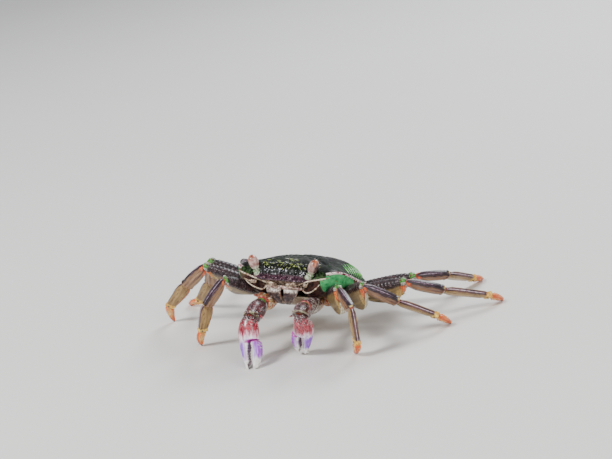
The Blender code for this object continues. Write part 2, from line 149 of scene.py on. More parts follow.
class Wire:
    """An output socket of a node tree. Arithmetic on it adds Math nodes."""

    def __init__(self, tree, socket=None):
        self.tree, self.socket = tree, socket

    def node(self, kind, settings=(), sockets=(), output=0):
        """Adds a node: first its settings, then the values or links of its sockets."""
        made = self.tree.nodes.new(kind)
        for name, value in dict(settings).items():
            setattr(made, name, value)
        for name, value in dict(sockets).items():
            if isinstance(value, Wire):
                self.tree.links.new(value.socket, made.inputs[name])
            else:
                made.inputs[name].default_value = value
        return Wire(self.tree, made.outputs[output])

    def maths(self, operation, *values):
        return self.node("ShaderNodeMath", {"operation": operation}, dict(enumerate(values)))

    def vectors(self, operation, *values, output=0):
        return self.node("ShaderNodeVectorMath", {"operation": operation}, dict(enumerate(values)), output)

    def __add__(self, other):
        return self.maths("ADD", self, other)

    def __sub__(self, other):
        return self.maths("SUBTRACT", self, other)

    def __rsub__(self, other):
        return self.maths("SUBTRACT", other, self)

    def __mul__(self, other):
        return self.maths("MULTIPLY", self, other)

    def __truediv__(self, other):
        return self.maths("DIVIDE", self, other)

    __radd__, __rmul__ = __add__, __mul__

    def over(self, other):
        """The larger of two values."""
        return self.maths("MAXIMUM", self, other)

    def rise(self, low, high):
        """0 below low and 1 above high, with a smooth rise between. Low may be the larger."""
        sockets = {"Value": self, "From Min": low, "From Max": high}
        return self.node("ShaderNodeMapRange", {"interpolation_type": "SMOOTHSTEP"}, sockets)

    def near(self, centre, half):
        """1 where a value is near the centre, fading out at half either side."""
        off = self - centre
        return 1 - off.maths("ABSOLUTE", off).rise(half * 0.6, half)

    def blend(self, low, high):
        """A colour: low where this value is 0 and high where it is 1."""
        return self.node("ShaderNodeMix", {"data_type": "RGBA"}, {0: self, 6: low, 7: high}, 2)

    def stretched(self, *by):
        """A place with each of its axes multiplied by a number."""
        return self.vectors("MULTIPLY", self, by)

    def noise(self, size, detail=3, rough=0.55, warp=0):
        """Soft patches about size millimetres across, from 0 to 1. Called on a place."""
        sockets = {"Vector": self, "Scale": 1 / size, "Detail": detail, "Roughness": rough, "Distortion": warp}
        return self.node("ShaderNodeTexNoise", {}, sockets)

    def cells(self, size):
        """Distance from the middle of spots about size millimetres apart. Called on a place."""
        return self.node("ShaderNodeTexVoronoi", {"feature": "F1"}, {"Vector": self, "Scale": 1 / size})

    def patches(self, size, dark, pale, low=0.38, high=0.62):
        """A patchy colour between two, in patches about size millimetres across. Called on a place."""
        return self.noise(size, 4).rise(low, high).blend(paint(*dark), paint(*pale))

    def flecks(self, size, share=0.60, spread=2.4):
        """Small ragged flecks in loose groups, from 0 to 1. A larger share leaves fewer of them."""
        return self.noise(size, 2, 0.7).rise(share, share + 0.05) * self.noise(spread, 2).rise(0.42, 0.54)


print("a middle grey as light:", [round(v, 3) for v in paint(128, 128, 128)])

# %% [markdown]
# A finish is built up in layers: each lays a colour over the last where a mask is 1. Masks come
# from marks, numbers that a mesh carries at its points, with their borders moved by noise,
# because pigment has no straight borders. Every finish ends with its roughness and its grain.

# %% Finishes in layers
class Finish:
    """A material, its shader and the colour laid so far. Constants are set on the shader's own sockets."""

    def __init__(self, name, coat=0, coat_rough=0.03, ior=1.5, **constants):
        self.material = bpy.data.materials.new(name)
        self.material.use_nodes = True
        self.shader = self.material.node_tree.nodes["Principled BSDF"]
        self.wire = Wire(self.material.node_tree)
        spot = self.wire.node("ShaderNodeTexCoord", output=3)
        self.place = spot.stretched(*(1 / MM,) * 3)  # millimetres on the object's own axes
        for socket, value in dict(constants, Coat_Weight=coat, Coat_Roughness=coat_rough, IOR=ior).items():
            self.shader.inputs[socket.replace("_", " ")].default_value = value

    def mark(self, name):
        """What the mesh carries at its points under a name: a place on the piece, or a number."""
        return self.wire.node("ShaderNodeAttribute", {"attribute_name": name}, output=1 if name == "local" else 2)

    def wavy(self, value, size, spread, detail=3):
        """A value whose borders noise moves by up to half the spread."""
        return value + self.place.noise(size, detail) * spread - spread / 2

    def streak(self, length):
        """Places on a limb for noise that is 1 / length times as long as it is wide."""
        return self.mark("local").stretched(1, 1, length)

    def patches(self, *about):
        return self.place.patches(*about)

    def lay(self, mask, tone, *patches):
        """Lays a colour over the last: three numbers, a wire, or what patches takes."""
        if patches:
            tone = self.place.patches(tone, *patches)
        self.colour = mask.blend(self.colour, tone if isinstance(tone, Wire) else paint(*tone))

    def plug(self, **wires):
        for socket, wire in wires.items():
            self.wire.tree.links.new(wire.socket, self.shader.inputs[socket.replace("_", " ")])
        return self.material

    def done(self, rough, grain, depth, **wires):
        """Ends with a roughness, as a wire or as noise (size, spread, least), and a grain depth millimetres high."""
        if not isinstance(rough, Wire):
            size, spread, least = rough
            rough = self.place.noise(size) * spread + least
        sockets = {"Height": grain, "Strength": 1.0, "Distance": depth * MM}
        normal = grain.node("ShaderNodeBump", {}, sockets)
        return self.plug(Base_Color=self.colour, Roughness=rough, Normal=normal, **wires)


pale_floor = Finish("pale_floor", Roughness=0.75)
tone = pale_floor.place.noise(180, 2).blend(paint(224, 222, 218), paint(230, 229, 226))
floor.data.materials.append(pale_floor.plug(Base_Color=tone))
print("floor finish:", len(pale_floor.material.node_tree.nodes), "nodes")

# %% [markdown]
# Nearly every plate of a crab can be drawn as rings, one after another, closed by a point at
# each end. One helper makes such a skin, another makes it a mesh that carries its marks. The
# sign of the volume shows whether the faces look outwards, so no skin can come out inside out.

# %% Small curves
def smoothstep(low, high, value):
    t = np.clip((np.asarray(value, float) - low) / (high - low), 0, 1)
    return t * t * (3 - 2 * t)


def bell(value, width):
    return np.exp(-((value / width) ** 2))


def wave(turns):
    """0 to 1 and back once for each whole turn, 1 at none."""
    return 0.5 + 0.5 * np.cos(2 * math.pi * turns)


def signed_power(value, exponent):
    return np.sign(value) * np.abs(value) ** exponent


def rounded(near, low):
    """The round of an end: from low to 1 as near goes from 0 to 1."""
    return low + (1 - low) * np.sqrt(1 - (1 - near) ** 2)


def full_turn(sides):
    return np.linspace(0, 2 * math.pi, sides, endpoint=False)


def eased(count, share=1):
    """0 to 1 in steps that are finer at both ends, or the first share of that."""
    return 0.5 - 0.5 * np.cos(np.linspace(0, math.pi * share, count))


def smooth_rows(rows, places):
    """Rows of a table, whose first column is a place, read at other places on a smooth curve."""
    rows = np.asarray(rows, float)
    at, values = rows[:, 0], rows[:, 1:]
    slope = np.gradient(values, at, axis=0)
    k = np.clip(np.searchsorted(at, places) - 1, 0, len(at) - 2)
    step = (at[k + 1] - at[k])[:, None]
    s = (places - at[k])[:, None] / step
    return (
        (2 * s**3 - 3 * s**2 + 1) * values[k] + (s**3 - 2 * s**2 + s) * step * slope[k]
        + (3 * s**2 - 2 * s**3) * values[k + 1] + (s**3 - s**2) * step * slope[k + 1]
    )


print("eased steps:", eased(5).round(2).tolist(), "a bell:", bell(np.linspace(-1, 1, 5), 0.5).round(2).tolist())

# %% Closed skins
pieces = {}


def closed_skin(rings):
    """Points and faces over rings of equal length, with a middle point at each end."""
    rows, sides = rings.shape[:2]
    points = np.concatenate([rings.reshape(-1, 3), [rings[0].mean(0), rings[-1].mean(0)]])
    k = np.arange(sides)
    n = (k + 1) % sides
    r = np.arange(rows - 1)[:, None] * sides
    quads = np.stack([r + k, r + n, r + sides + n, r + sides + k], -1).reshape(-1, 4)
    last = (rows - 1) * sides
    ends = np.concatenate([
        np.stack([n, k, np.full(sides, rows * sides)], -1),
        np.stack([last + k, last + n, np.full(sides, rows * sides + 1)], -1),
    ])
    a, b, c, d = (points[corner] for corner in quads.T)
    volume = (np.cross(a, b) * c).sum() + (np.cross(a, c) * d).sum()
    faces = quads.tolist() + ends.tolist()
    return points, faces if volume > 0 else [f[::-1] for f in faces]


def with_ends(mark):
    """Marks of rings, as rows by sides, with the two end points' marks added."""
    mark = np.asarray(mark, float)
    return np.concatenate([mark.reshape(-1, *mark.shape[2:]), [mark[0].mean(0), mark[-1].mean(0)]])


def add_marked(name, points, edges, faces, marks):
    """A mesh object whose points carry marks, one number or vector each."""
    mesh = bpy.data.meshes.new(name)
    mesh.from_pydata(np.asarray(points).tolist(), edges, faces)
    for mark, values in marks.items():
        values = np.asarray(values, np.float32)
        kind, part = ("FLOAT_VECTOR", "vector") if values.ndim == 2 else ("FLOAT", "value")
        mesh.attributes.new(mark, kind, "POINT").data.foreach_set(part, values.ravel())
    return new_object(name, mesh)


def add_rings(name, rings, finish=None, sharp=60, **marks):
    """A smooth closed piece over rings. Edges that turn by more than sharp degrees stay sharp."""
    points, faces = closed_skin(rings)
    obj = add_marked(name, points, [], faces, {mark: with_ends(values) for mark, values in marks.items()})
    obj.data.shade_smooth()
    obj.data.set_sharp_from_angle(angle=math.radians(sharp))
    if finish:
        obj.data.materials.append(finish)
    return obj


def keep(obj, slot, *nodes):
    """Notes a finished piece, the record's finish that it wears and the plates that it stands for."""
    pieces[obj.name] = (obj, slot, nodes)
    return obj


def triangles(obj):
    return sum(len(p.vertices) - 2 for p in obj.data.polygons)


print("helpers for skins ready")

# %% [markdown]
# The back shell is one plate: a low dome over the back, a sharp side edge, and flanks that turn
# in below it to the legs. Between the eyes the front turns steeply down. It could be sculpted,
# but a rule is easier to change: a rounded outline, scaled in steps towards the middle for the
# dome and drawn in below the edge for the flanks.

# %% The back shell's outline and levels
HALF_WIDTH, HALF_LENGTH = 0.5, 0.475
FRONT_SQUARENESS, REAR_SQUARENESS = 3.4, 2.3
DOME, FRONT_DROP, FRONT_FULLNESS, CORNER_LIFT, REAR_DROP = 0.115, 0.035, 4.5, 0.047, 0.095
RIM_LEVEL, RIM_HALF, MOUTH_RISE = -0.165, (0.355, 0.405), 0.066


def edge_reach(angle):
    """From the middle to the side edge: angle 0 is straight ahead, a quarter turn is the left."""
    power = np.where(np.cos(angle) > 0, FRONT_SQUARENESS, REAR_SQUARENESS)
    across, along = np.abs(np.sin(angle) / HALF_WIDTH), np.abs(np.cos(angle) / HALF_LENGTH)
    return (across**power + along**power) ** (-1 / power)


def edge_places(angle):
    return edge_reach(angle) * np.sin(angle), -edge_reach(angle) * np.cos(angle)


def edge_rule(x, y):
    """At a place on the edge: shares of turned-down front and lowered rear, the lift and the level."""
    front = smoothstep(-0.36, -0.44, y) * (1 - smoothstep(0.255, 0.33, np.abs(x)))
    rear, lift = smoothstep(-0.25, 0.18, y), CORNER_LIFT * bell(y + 0.35, 0.13) * (1 - front)
    return front, rear, lift, lift - FRONT_DROP * front - REAR_DROP * rear


def shell_grid(angles, stations):
    """The plain shell: station 0 to 1 goes over the back to the side edge, 1 to 2 down the flank."""
    a, s = angles[None, :], stations[:, None]
    x, y = edge_places(a)
    front, rear, lift, edge = edge_rule(x, y)
    over, down = np.minimum(s, 1), np.clip(s - 1, 0, 1)
    back = DOME * (1 - over ** (2.6 + FRONT_FULLNESS * front)) + lift * smoothstep(0.5, 1, over)
    back = back - FRONT_DROP * front * smoothstep(0.86, 1, over) - REAR_DROP * rear * over**6
    rim_x, rim_y = x * RIM_HALF[0] / HALF_WIDTH, y * RIM_HALF[1] / HALF_LENGTH
    mouth = smoothstep(-0.28, -0.38, rim_y) * (1 - smoothstep(0.150, 0.230, np.abs(rim_x)))
    flank = edge + (RIM_LEVEL + MOUTH_RISE * mouth - edge) * down
    bulge = 1 + np.sin(math.pi * down) * (0.09 - 0.14 * front)
    teeth = 0.016 * bell(np.abs(a) - 0.80, 0.040) + 0.012 * bell(np.abs(a) - 1.06, 0.045)
    grown = over * (1 + teeth * smoothstep(0.90, 1, s) * (1 - smoothstep(1.0, 1.25, s)))
    across, along = (np.where(s <= 1, edge_at * grown, (edge_at * (1 - down) + rim_at * down) * bulge * grown)
                     for edge_at, rim_at in ((x, rim_x), (y, rim_y)))
    return np.stack([across, along, np.where(s <= 1, back, flank)], -1)


def outward(grid):
    """Unit normals of a grid of rings."""
    row = np.gradient(grid, axis=0)
    side = np.roll(grid, -1, 1) - np.roll(grid, 1, 1)
    normal = np.cross(side, row)
    normal /= np.linalg.norm(normal, axis=-1, keepdims=True) + 1e-12
    return normal * np.sign((normal * (grid - grid.mean((0, 1)))).sum())


print("half width at the side:", edge_reach(np.array([math.pi / 2])).round(3).tolist())

# %% [markdown]
# On that plain form lie the shell's swellings: four lobes behind the front, the stomach and
# gill regions parted by grooves, and a raised bead along the side edge. They are heights added
# along the surface's normals, each from a small bell curve, so that nothing is sharper than
# on a shell that was once soft.

# %% Swellings and grooves of the back
SHELL_SIDES = 400
GROOVES = (  # paths on the left half, seen from above, each with its depth and width
    (((0.345, -0.27), (0.24, -0.17), (0.15, -0.07), (0.10, 0.00), (0.0, 0.02)), 0.0095, 0.016),
    (((0.10, 0.00), (0.085, 0.10), (0.105, 0.20), (0.17, 0.30)), 0.0075, 0.014),
    (((0.15, -0.07), (0.27, -0.03), (0.38, 0.00)), 0.0045, 0.016),
    (((0.0, -0.47), (0.0, -0.30)), 0.0075, 0.011),
    (((0.13, -0.46), (0.135, -0.34)), 0.0060, 0.011),
)


def path_distance(x, y, path):
    nearest = np.full(np.shape(x), 9.0)
    for (x0, y0), (x1, y1) in zip(path, path[1:]):
        length2 = (x1 - x0) ** 2 + (y1 - y0) ** 2
        t = np.clip(((x - x0) * (x1 - x0) + (y - y0) * (y1 - y0)) / length2, 0, 1)
        nearest = np.minimum(nearest, np.hypot(x - x0 - t * (x1 - x0), y - y0 - t * (y1 - y0)))
    return nearest


def back_relief(x, y):
    side = np.abs(x)
    height = 0.008 * (bell(side - 0.072, 0.042) + bell(side - 0.200, 0.044)) * bell(y + 0.395, 0.034)
    height += 0.006 * bell(side - 0.11, 0.08) * bell(y + 0.22, 0.09) + 0.006 * bell(x, 0.10) * bell(y + 0.08, 0.06)
    height += 0.007 * bell(side - 0.30, 0.12) * bell(y - 0.10, 0.20) + 0.005 * bell(x, 0.07) * bell(y - 0.14, 0.08)
    for path, depth, width in GROOVES:
        height -= depth * bell(path_distance(side, y, path), width)
    return height


def wrinkles(x, y):
    """Low oblique folds on the gill regions, which the bright lines run along."""
    side = np.abs(x)
    shown = smoothstep(0.24, 0.32, side) * smoothstep(-0.30, -0.12, y) * smoothstep(0.40, 0.28, y)
    return 0.0030 * shown * wave((y + side - 0.5) / 0.045) ** 2


def build_back():
    stations = np.concatenate([np.linspace(0.012, 0.80, 46), np.linspace(0.815, 1, 30), 1 + np.linspace(0.03, 1, 30)])
    grid = shell_grid(np.linspace(-math.pi, math.pi, SHELL_SIDES, endpoint=False), stations)
    s, normal = stations[:, None], outward(grid)
    from_edge = np.where(s <= 1, (1 - s) * 0.48, (s - 1) * 0.17)
    x, y, over = grid[..., 0], grid[..., 1], smoothstep(1.0, 0.975, s)
    front = edge_rule(x, y)[0]
    height = over * (back_relief(x, y) + wrinkles(x, y))
    height += (0.0075 - 0.003 * front) * bell(from_edge, 0.011) - 0.004 * over * bell(from_edge - 0.024, 0.010)
    height += np.where(s > 1, 0.004 * bell(s - 1.45, 0.16) - 0.006 * bell(s - 1.80, 0.035), 0)
    grid = grid + normal * height[..., None]
    middle = grid[-1].mean(0)
    under = [middle + (grid[-1] - middle) * share for share in (0.93, 0.75, 0.5, 0.25)]
    return np.concatenate([grid, under])


carapace = add_rings("back_shell", on_body(build_back()))
print("back shell:", triangles(carapace), "triangles")

# %% [markdown]
# Each eye stands in a hollow (orbit) cut into the front corner of the shell. A Boolean cuts it
# with a clean lip, which pushing the dome's points inwards would blur. The room for the eye and
# for its stalk is cut the same way, a little larger than they are.

# %% Eye hollows
EYE_CENTRE, EYE_RADII, EYE_LEAN, EYE_FOOT = (0.270, -0.422, 0.088), (0.043, 0.043, 0.066), 24, 62
ORBIT_CENTRE, ORBIT_RADII = (0.322, -0.478, 0.032), (0.082, 0.092, 0.046)
STALK_CENTRE, STALK_RADII, EYE_ROOM = (0.246, -0.422, 0.024), (0.044, 0.044, 0.060), 0.013


def ball_rings(centre, radii, side, lean=0.0, low=-84, high=84, rows=18, sides=36):
    """Rings of a stretched ball in shares; lean tips its top outwards on the side given."""
    up = np.radians(np.linspace(low, high, rows))[:, None]
    around = full_turn(sides)[None, :]
    ball = np.stack([np.cos(up) * np.cos(around), np.cos(up) * np.sin(around),
                     np.sin(up) * np.ones_like(around)], -1) * radii
    turn = np.array(Matrix.Rotation(side * math.radians(lean), 3, "Y"))
    return ball @ turn.T + np.array([side * centre[0], centre[1], centre[2]])


def cut_away(obj, cutter):
    modifier = obj.modifiers.new("room", "BOOLEAN")
    modifier.operation, modifier.solver, modifier.object = "DIFFERENCE", "EXACT", cutter
    mesh = bpy.data.meshes.new_from_object(obj.evaluated_get(bpy.context.evaluated_depsgraph_get()))
    obj.modifiers.clear()
    obj.data = mesh
    bpy.data.objects.remove(cutter)


for side in SIDES.values():
    for room in (
        ball_rings(ORBIT_CENTRE, ORBIT_RADII, side),
        ball_rings(EYE_CENTRE, [r + EYE_ROOM for r in EYE_RADII], side, EYE_LEAN),
        ball_rings(STALK_CENTRE, STALK_RADII, side, EYE_LEAN),
    ):
        cut_away(carapace, add_rings("room", on_body(room)))
carapace.data.set_sharp_from_angle(angle=math.radians(55))
print("back shell with its hollows:", triangles(carapace), "triangles")

# %% [markdown]
# Colour mostly follows the anatomy, so the shell is given marks worked out from where each point lies
# on the body: flank, side edge, front band, hollow, fleck zone. Two of them also hold painted shade:
# the green patch starts farther back on the right, and the brown panel below each eye is partly
# darkened as painted shade. The finish mixes its colours by them and breaks every border with noise,
# as pigment does. The living shell is wet, which a thin clear coat over a fairly smooth surface gives.

# %% Marks on the back shell
def mark_back(mesh):
    points = np.empty(len(mesh.vertices) * 3, np.float32)
    mesh.vertices.foreach_get("co", points)
    x, y, z = off_body(points.reshape(-1, 3)).T
    angle, side = np.arctan2(x, -y), np.abs(x)
    reach = np.hypot(x, y) / edge_reach(angle)
    edge = edge_rule(*edge_places(angle))[3]
    below = smoothstep(edge + 0.000, edge - 0.010, z)
    orbit = sum(((v - centre) / radius) ** 2 for v, centre, radius in zip((side, y, z), ORBIT_CENTRE, ORBIT_RADII))
    marks = {
        "flank": below,
        # The green patch starts farther back on the right side than on the left, which leaves that side darker: painted
        # shade.
        "patch": below * smoothstep(0.0, 0.017, side - np.where(x > 0, 0.335, 0.405))
        * smoothstep(0.03, -0.03, y + 0.10 + 1.07 * (z + 0.057)),
        "panel": below * smoothstep(0.345, 0.330, side) * smoothstep(0.15, 0.17, side) * smoothstep(-0.30, -0.34, y),
        "mouth_wall": below * smoothstep(0.20, 0.15, side) * smoothstep(-0.30, -0.36, y),
        "edge_line": bell(z - edge, 0.011) * smoothstep(0.955, 0.985, reach) * smoothstep(0.30, 0.36, side)
        * smoothstep(0.36, 0.24, y),
        "front_band": smoothstep(0.022, -0.002, z) * smoothstep(-0.41, -0.44, y) * smoothstep(0.31, 0.27, side)
        * (1 - below),
        "fleck_zone": smoothstep(0.31, 0.24, side) * smoothstep(-0.27, -0.38, y) * (1 - below),
        "fleck_top": smoothstep(0.030, 0.060, z),
        "gill_zone": smoothstep(0.25, 0.36, side) * smoothstep(-0.34, -0.22, y) * (1 - below),
        "hollow": smoothstep(1.10, 1.02, orbit),
    }
    for name, values in marks.items():
        mesh.attributes.new(name, "FLOAT", "POINT").data.foreach_set("value", values.astype(np.float32))
    return list(marks)


print("marks:", mark_back(carapace.data))

# %% The back shell's finish
def back_finish():
    f = Finish("back_shell", 0, 0.22, 1.45, Specular_IOR_Level=0.08)
    noise, mark = f.place.noise, f.mark
    f.colour = f.patches(4.5, (5, 8, 6), (13, 24, 12), 0.42, 0.62)
    f.lay(noise(9, 2).rise(0.45, 0.70), (18, 11, 14))
    f.lay(noise(1.6, 4).rise(0.50, 0.62) * mark("gill_zone") * 0.7, (24, 58, 26))
    f.lay(noise(1.1, 4, warp=0.5).rise(0.60, 0.68) * 0.5, (52, 62, 40))
    speck = noise(0.62, 3, 0.7).rise(0.565, 0.615) * noise(2.4, 2, warp=1.0).rise(0.45, 0.55)
    tints = (noise(1.5) * mark("fleck_top")).rise(0.42, 0.54).blend(paint(204, 200, 210), paint(168, 180, 92))
    f.lay(speck * mark("fleck_zone"), tints)
    band = f.place.flecks(0.4, 0.61, 1.5).blend(f.patches(0.9, (26, 12, 21), (76, 46, 58)), paint(196, 176, 184))
    f.lay(mark("front_band"), band)
    back = f.colour
    f.colour = f.patches(1.8, (42, 30, 26), (110, 88, 60), 0.35, 0.65)  # the flank, over which the back is laid
    # The panel's dark brown is partly its own colour and partly painted shade under the front.
    f.lay(mark("panel"), 1.3, (28, 16, 18), (74, 48, 42), 0.36, 0.64)
    green = f.patches(1.6, (36, 124, 70), (84, 184, 116), 0.26, 0.66)
    dots = 1 - f.place.cells(0.8).rise(0.13, 0.22)
    green = (dots * noise(3).rise(0.40, 0.54)).blend(green, paint(188, 130, 62))
    f.lay(f.wavy(mark("patch"), 1.0, 0.4).rise(0.38, 0.56), green)
    f.lay(mark("mouth_wall"), 0.7, (60, 40, 36), (172, 152, 132), 0.40, 0.60)
    f.colour = mark("flank").blend(back, f.colour)
    beads = noise(1.2).rise(0.42, 0.52).blend(paint(112, 28, 58), paint(236, 218, 212))
    f.lay(mark("edge_line").rise(0.30, 0.60), beads)
    f.lay(mark("hollow"), noise(0.9).rise(0.36, 0.64).blend(paint(14, 24, 16), paint(66, 88, 54)))
    grain = noise(0.55, 4) * 0.55 + (1 - f.place.cells(0.7).rise(0.0, 0.6)) * 0.45
    rough = noise(1.2).rise(0.3, 0.7) * 0.18 + 0.34
    return f.done(rough, grain, 0.13, Coat_Weight=noise(2).rise(0.40, 0.65) * 0.10)


carapace.data.materials.append(back_finish())
keep(carapace, "carapace_shell", "carapace")
print("finish with", len(carapace.data.materials[0].node_tree.nodes), "nodes")

# %% [markdown]
# Bright raised lines cross the gill regions at a slant, and many short wrinkles lie across the
# rest of the back. Drawn in a texture they would be flat, so each is a thin rib lying half sunk
# along a guide on the shell. Geometry Nodes turns all guides into ribs at once: a guide is a
# row of points that carries a thickness and a tint. Their places come from a seeded draw.

# %% Trees with named inputs
def new_tree(name, **inputs):
    """A Geometry Nodes tree, a first wire in it and its inputs. None stands for a material."""
    tree = bpy.data.node_groups.new(name, "GeometryNodeTree")
    for way in ("INPUT", "OUTPUT"):
        tree.interface.new_socket("Geometry", in_out=way, socket_type="NodeSocketGeometry")
    for label, value in inputs.items():
        kind = {int: "NodeSocketInt", float: "NodeSocketFloat"}.get(type(value), "NodeSocketMaterial")
        socket = tree.interface.new_socket(label, in_out="INPUT", socket_type=kind)
        if value is not None:
            socket.default_value = value
    group = tree.nodes.new("NodeGroupInput")
    return tree, Wire(tree), {s.name: Wire(tree, s) for s in group.outputs if s.name}


def close_tree(geometry, material):
    """Ends a tree: instances become real mesh, smooth and painted."""
    real = geometry.node("GeometryNodeRealizeInstances", {}, {"Geometry": geometry})
    smooth = real.node("GeometryNodeSetShadeSmooth", {}, {"Geometry": real})
    painted = real.node("GeometryNodeSetMaterial", {}, {"Geometry": smooth, "Material": material})
    out = real.tree.nodes.new("NodeGroupOutput")
    real.tree.links.new(painted.socket, out.inputs["Geometry"])


def field(wire, name, kind="FLOAT"):
    return wire.node("GeometryNodeInputNamedAttribute", {"data_type": kind}, {"Name": name})


def grow(name, tree, source, **values):
    """Runs a tree on a source object, which is used up, and returns the plain mesh object that it makes."""
    modifier = source.modifiers.new(tree.name, "NODES")
    modifier.node_group = tree
    for item in tree.interface.items_tree:
        if item.in_out == "INPUT" and item.name in values:
            modifier[item.identifier] = values[item.name]
    mesh = bpy.data.meshes.new_from_object(source.evaluated_get(bpy.context.evaluated_depsgraph_get()))
    source.modifiers.remove(modifier)
    bpy.data.objects.remove(source)
    obj = new_object(name, mesh)
    print(name, "grown:", triangles(obj), "triangles")
    return obj


def add_guides(name, rows, joined=True, **marks):
    """Rows of guide points, joined by edges or loose; each mark holds one list of values for each row."""
    points = np.concatenate(rows)
    ends = np.cumsum([len(row) for row in rows])
    edges = [(k, k + 1) for k in range(len(points) - 1) if k + 1 not in ends] if joined else []
    return add_marked(name, points, edges, [], {mark: np.concatenate(values) for mark, values in marks.items()})


print("helpers for trees ready")

# %% The rib tree
def rib_tree():
    tree, start, given = new_tree("ribs_on_guides", Thickness=1.0, Sides=8, Finish=None)
    curve = start.node("GeometryNodeMeshToCurve", {}, {"Mesh": given["Geometry"]})
    section = start.node("GeometryNodeCurvePrimitiveCircle", {}, {"Resolution": given["Sides"], "Radius": 1.0})
    size = field(start, "thickness") * given["Thickness"]
    rib = start.node("GeometryNodeCurveToMesh", {},
                     {"Curve": curve, "Profile Curve": section, "Scale": size, "Fill Caps": True})
    close_tree(rib, given["Finish"])
    return tree


RIBS = rib_tree()
print("inputs:", [i.name for i in RIBS.interface.items_tree if i.in_out == "INPUT"])

# %% Guides on the back
ORBIT_BORDER = ((0.0, -0.094), (0.06, -0.088), (0.12, -0.072), (0.18, -0.050), (0.24, -0.028),
                (0.30, -0.014), (0.36, -0.002), (0.41, 0.012))
PANEL_FRAME = ((0.150, -0.076), (0.165, -0.108), (0.196, -0.130), (0.235, -0.124), (0.274, -0.104),
               (0.312, -0.074), (0.338, -0.046))
LINE_POINTS, FEWEST_POINTS = 40, 8
SURFACE = BVHTree.FromPolygons([v.co for v in carapace.data.vertices], [p.vertices for p in carapace.data.polygons])
DOWN, BACKWARDS = (BODY.to_3x3() @ Vector(way) for way in ((0, 0, -1), (0, 1, 0)))


def on_back(x, y, z, way, sink=0.0):
    """Where a line from (x, y, z) in shares meets the back shell, moved sink metres into it."""
    spot, normal, _, _ = SURFACE.ray_cast(Vector(on_body([[x, y, z]])[0]), way)
    return np.array(spot - normal * sink)


def taper(count, start=0.35, end=0.12):
    """Thickness along a rib: blunt where it starts, fullest early on, fine at its end."""
    t = np.linspace(0, 1, count)
    return start + (1 - start) * smoothstep(0, 0.18, t) - (1 - end) * smoothstep(0.35, 1.0, t)


def gill_lines():
    """The bright lines at the sides, each as its points, thicknesses and tints."""
    for side in SIDES.values():
        for k in range(9):
            low = -0.155 + 0.042 * k
            start = 0.5 - 0.5 * abs(low - 0.02) ** 2.2
            u = np.linspace(0, 1, 18) * (0.225 - 0.05 * abs(k - 4) / 5)
            x, y = (start - 0.030) - u * 0.74, low + 0.035 + u * 0.66 + 0.10 * u**2
            inside = np.hypot(x, y) < 0.955 * edge_reach(np.arctan2(x, -y))
            rows = [on_back(side * a, b, 0.5, DOWN, 0.05 * MM) for a, b in zip(x[inside], y[inside])]
            if len(rows) >= FEWEST_POINTS:
                yield rows, taper(len(rows)) * 0.36 * MM, np.full(len(rows), 1.0)


def short_wrinkles(seed=4):
    draw = np.random.default_rng(seed)
    t = np.linspace(-1, 1, 9)
    for row, y in enumerate(np.arange(-0.375, 0.36, 0.031)):
        for x in np.arange(-0.34, 0.341, 0.074) + (0.037 if row % 2 else 0):
            x0, y0 = x + draw.uniform(-0.014, 0.014), y + draw.uniform(-0.008, 0.008)
            half, bend = draw.uniform(0.014, 0.032), draw.uniform(-0.10, 0.10) + 0.35 * x0
            if abs(x0) > 0.22 + 0.10 * (y0 < -0.15) or np.hypot(x0, y0) > 0.42 or draw.uniform() < 0.18:
                continue
            rows = [on_back(x0 + half * s, y0 + bend * half * s + 0.3 * half * s * s, 0.5, DOWN, 0.03 * MM) for s in t]
            sizes = (1.05 - t**2) * draw.uniform(0.09, 0.15) * MM
            pale = y0 < -0.22 and draw.uniform() < 0.55
            yield rows, sizes, np.full(len(t), draw.uniform(0.35, 0.45) if pale else draw.uniform(0.0, 0.25))


def running_mean(values, half):
    return np.convolve(np.pad(values, half, "edge"), np.ones(2 * half + 1) / (2 * half + 1), "valid")


def front_lines():
    """The raised border from under the eyes to the mouth, and the frame of the panel below it."""
    t = np.linspace(0, 1, LINE_POINTS)
    for path, size, start in ((ORBIT_BORDER, 0.30, 0.2), (PANEL_FRAME, 0.26, 0)):
        x, z = smooth_rows(np.column_stack([np.linspace(0, 1, len(path)), path]), t).T
        for side in SIDES.values():
            y = off_body([on_back(side * a, -0.8, b, BACKWARDS) for a, b in zip(x, z)])[:, 1]
            for _ in range(6):  # the border bridges the eye's hollow
                y = np.minimum(y, running_mean(y, 3))
            fade = np.minimum(1, 0.35 + 4 * np.minimum(t + start, t[::-1]))
            line = np.column_stack([side * x, running_mean(y, 2), z])
            yield on_body(line), size * MM * fade, np.full(LINE_POINTS, 0.5)


print("bright lines:", sum(1 for _ in gill_lines()), "lines at the front:", sum(1 for _ in front_lines()))

# %% Ribs on the back
def rib_finish():
    f = Finish("shell_ribs", 0.5, 0.1)
    noise, tint = f.place.noise, f.mark("tint")
    f.colour = noise(1.3).rise(0.44, 0.56).blend(paint(210, 214, 200), paint(168, 186, 84))
    f.lay(tint.near(0.5, 0.008), noise(0.9).rise(0.38, 0.60).blend(paint(140, 100, 76), paint(236, 222, 196)))
    dark = tint.rise(0.0, 0.28).blend(paint(12, 18, 12), paint(42, 56, 28))
    f.colour = tint.rise(0.28, 0.34).blend(dark, f.colour)
    f.lay(tint.rise(0.70, 0.80), noise(2.4).rise(0.34, 0.66).blend(paint(34, 140, 44), paint(110, 206, 76)))
    return f.done((0.6, 0.2, 0.22), noise(0.25), 0.03)


lines, sizes, tints = zip(*gill_lines(), *short_wrinkles(), *front_lines())
ribs = grow("back_ribs", RIBS, add_guides("rib_guides", lines, thickness=sizes, tint=tints),
            Thickness=1.0, Sides=8, Finish=rib_finish())
keep(ribs, "carapace_shell")

# %% [markdown]
# Legs and claws are rows of stiff tubes. A tube ends where it meets the next one, in a plane
# halfway between their directions, and its far rim is flared so that the next one tucks into
# it. One function draws such a segment from its two ends, its two end planes and a table of
# widths. A relief then moves the skin in or out, for keels, folds and swellings. The segment
# also notes where each point lies on it, so that a finish can follow the limb.

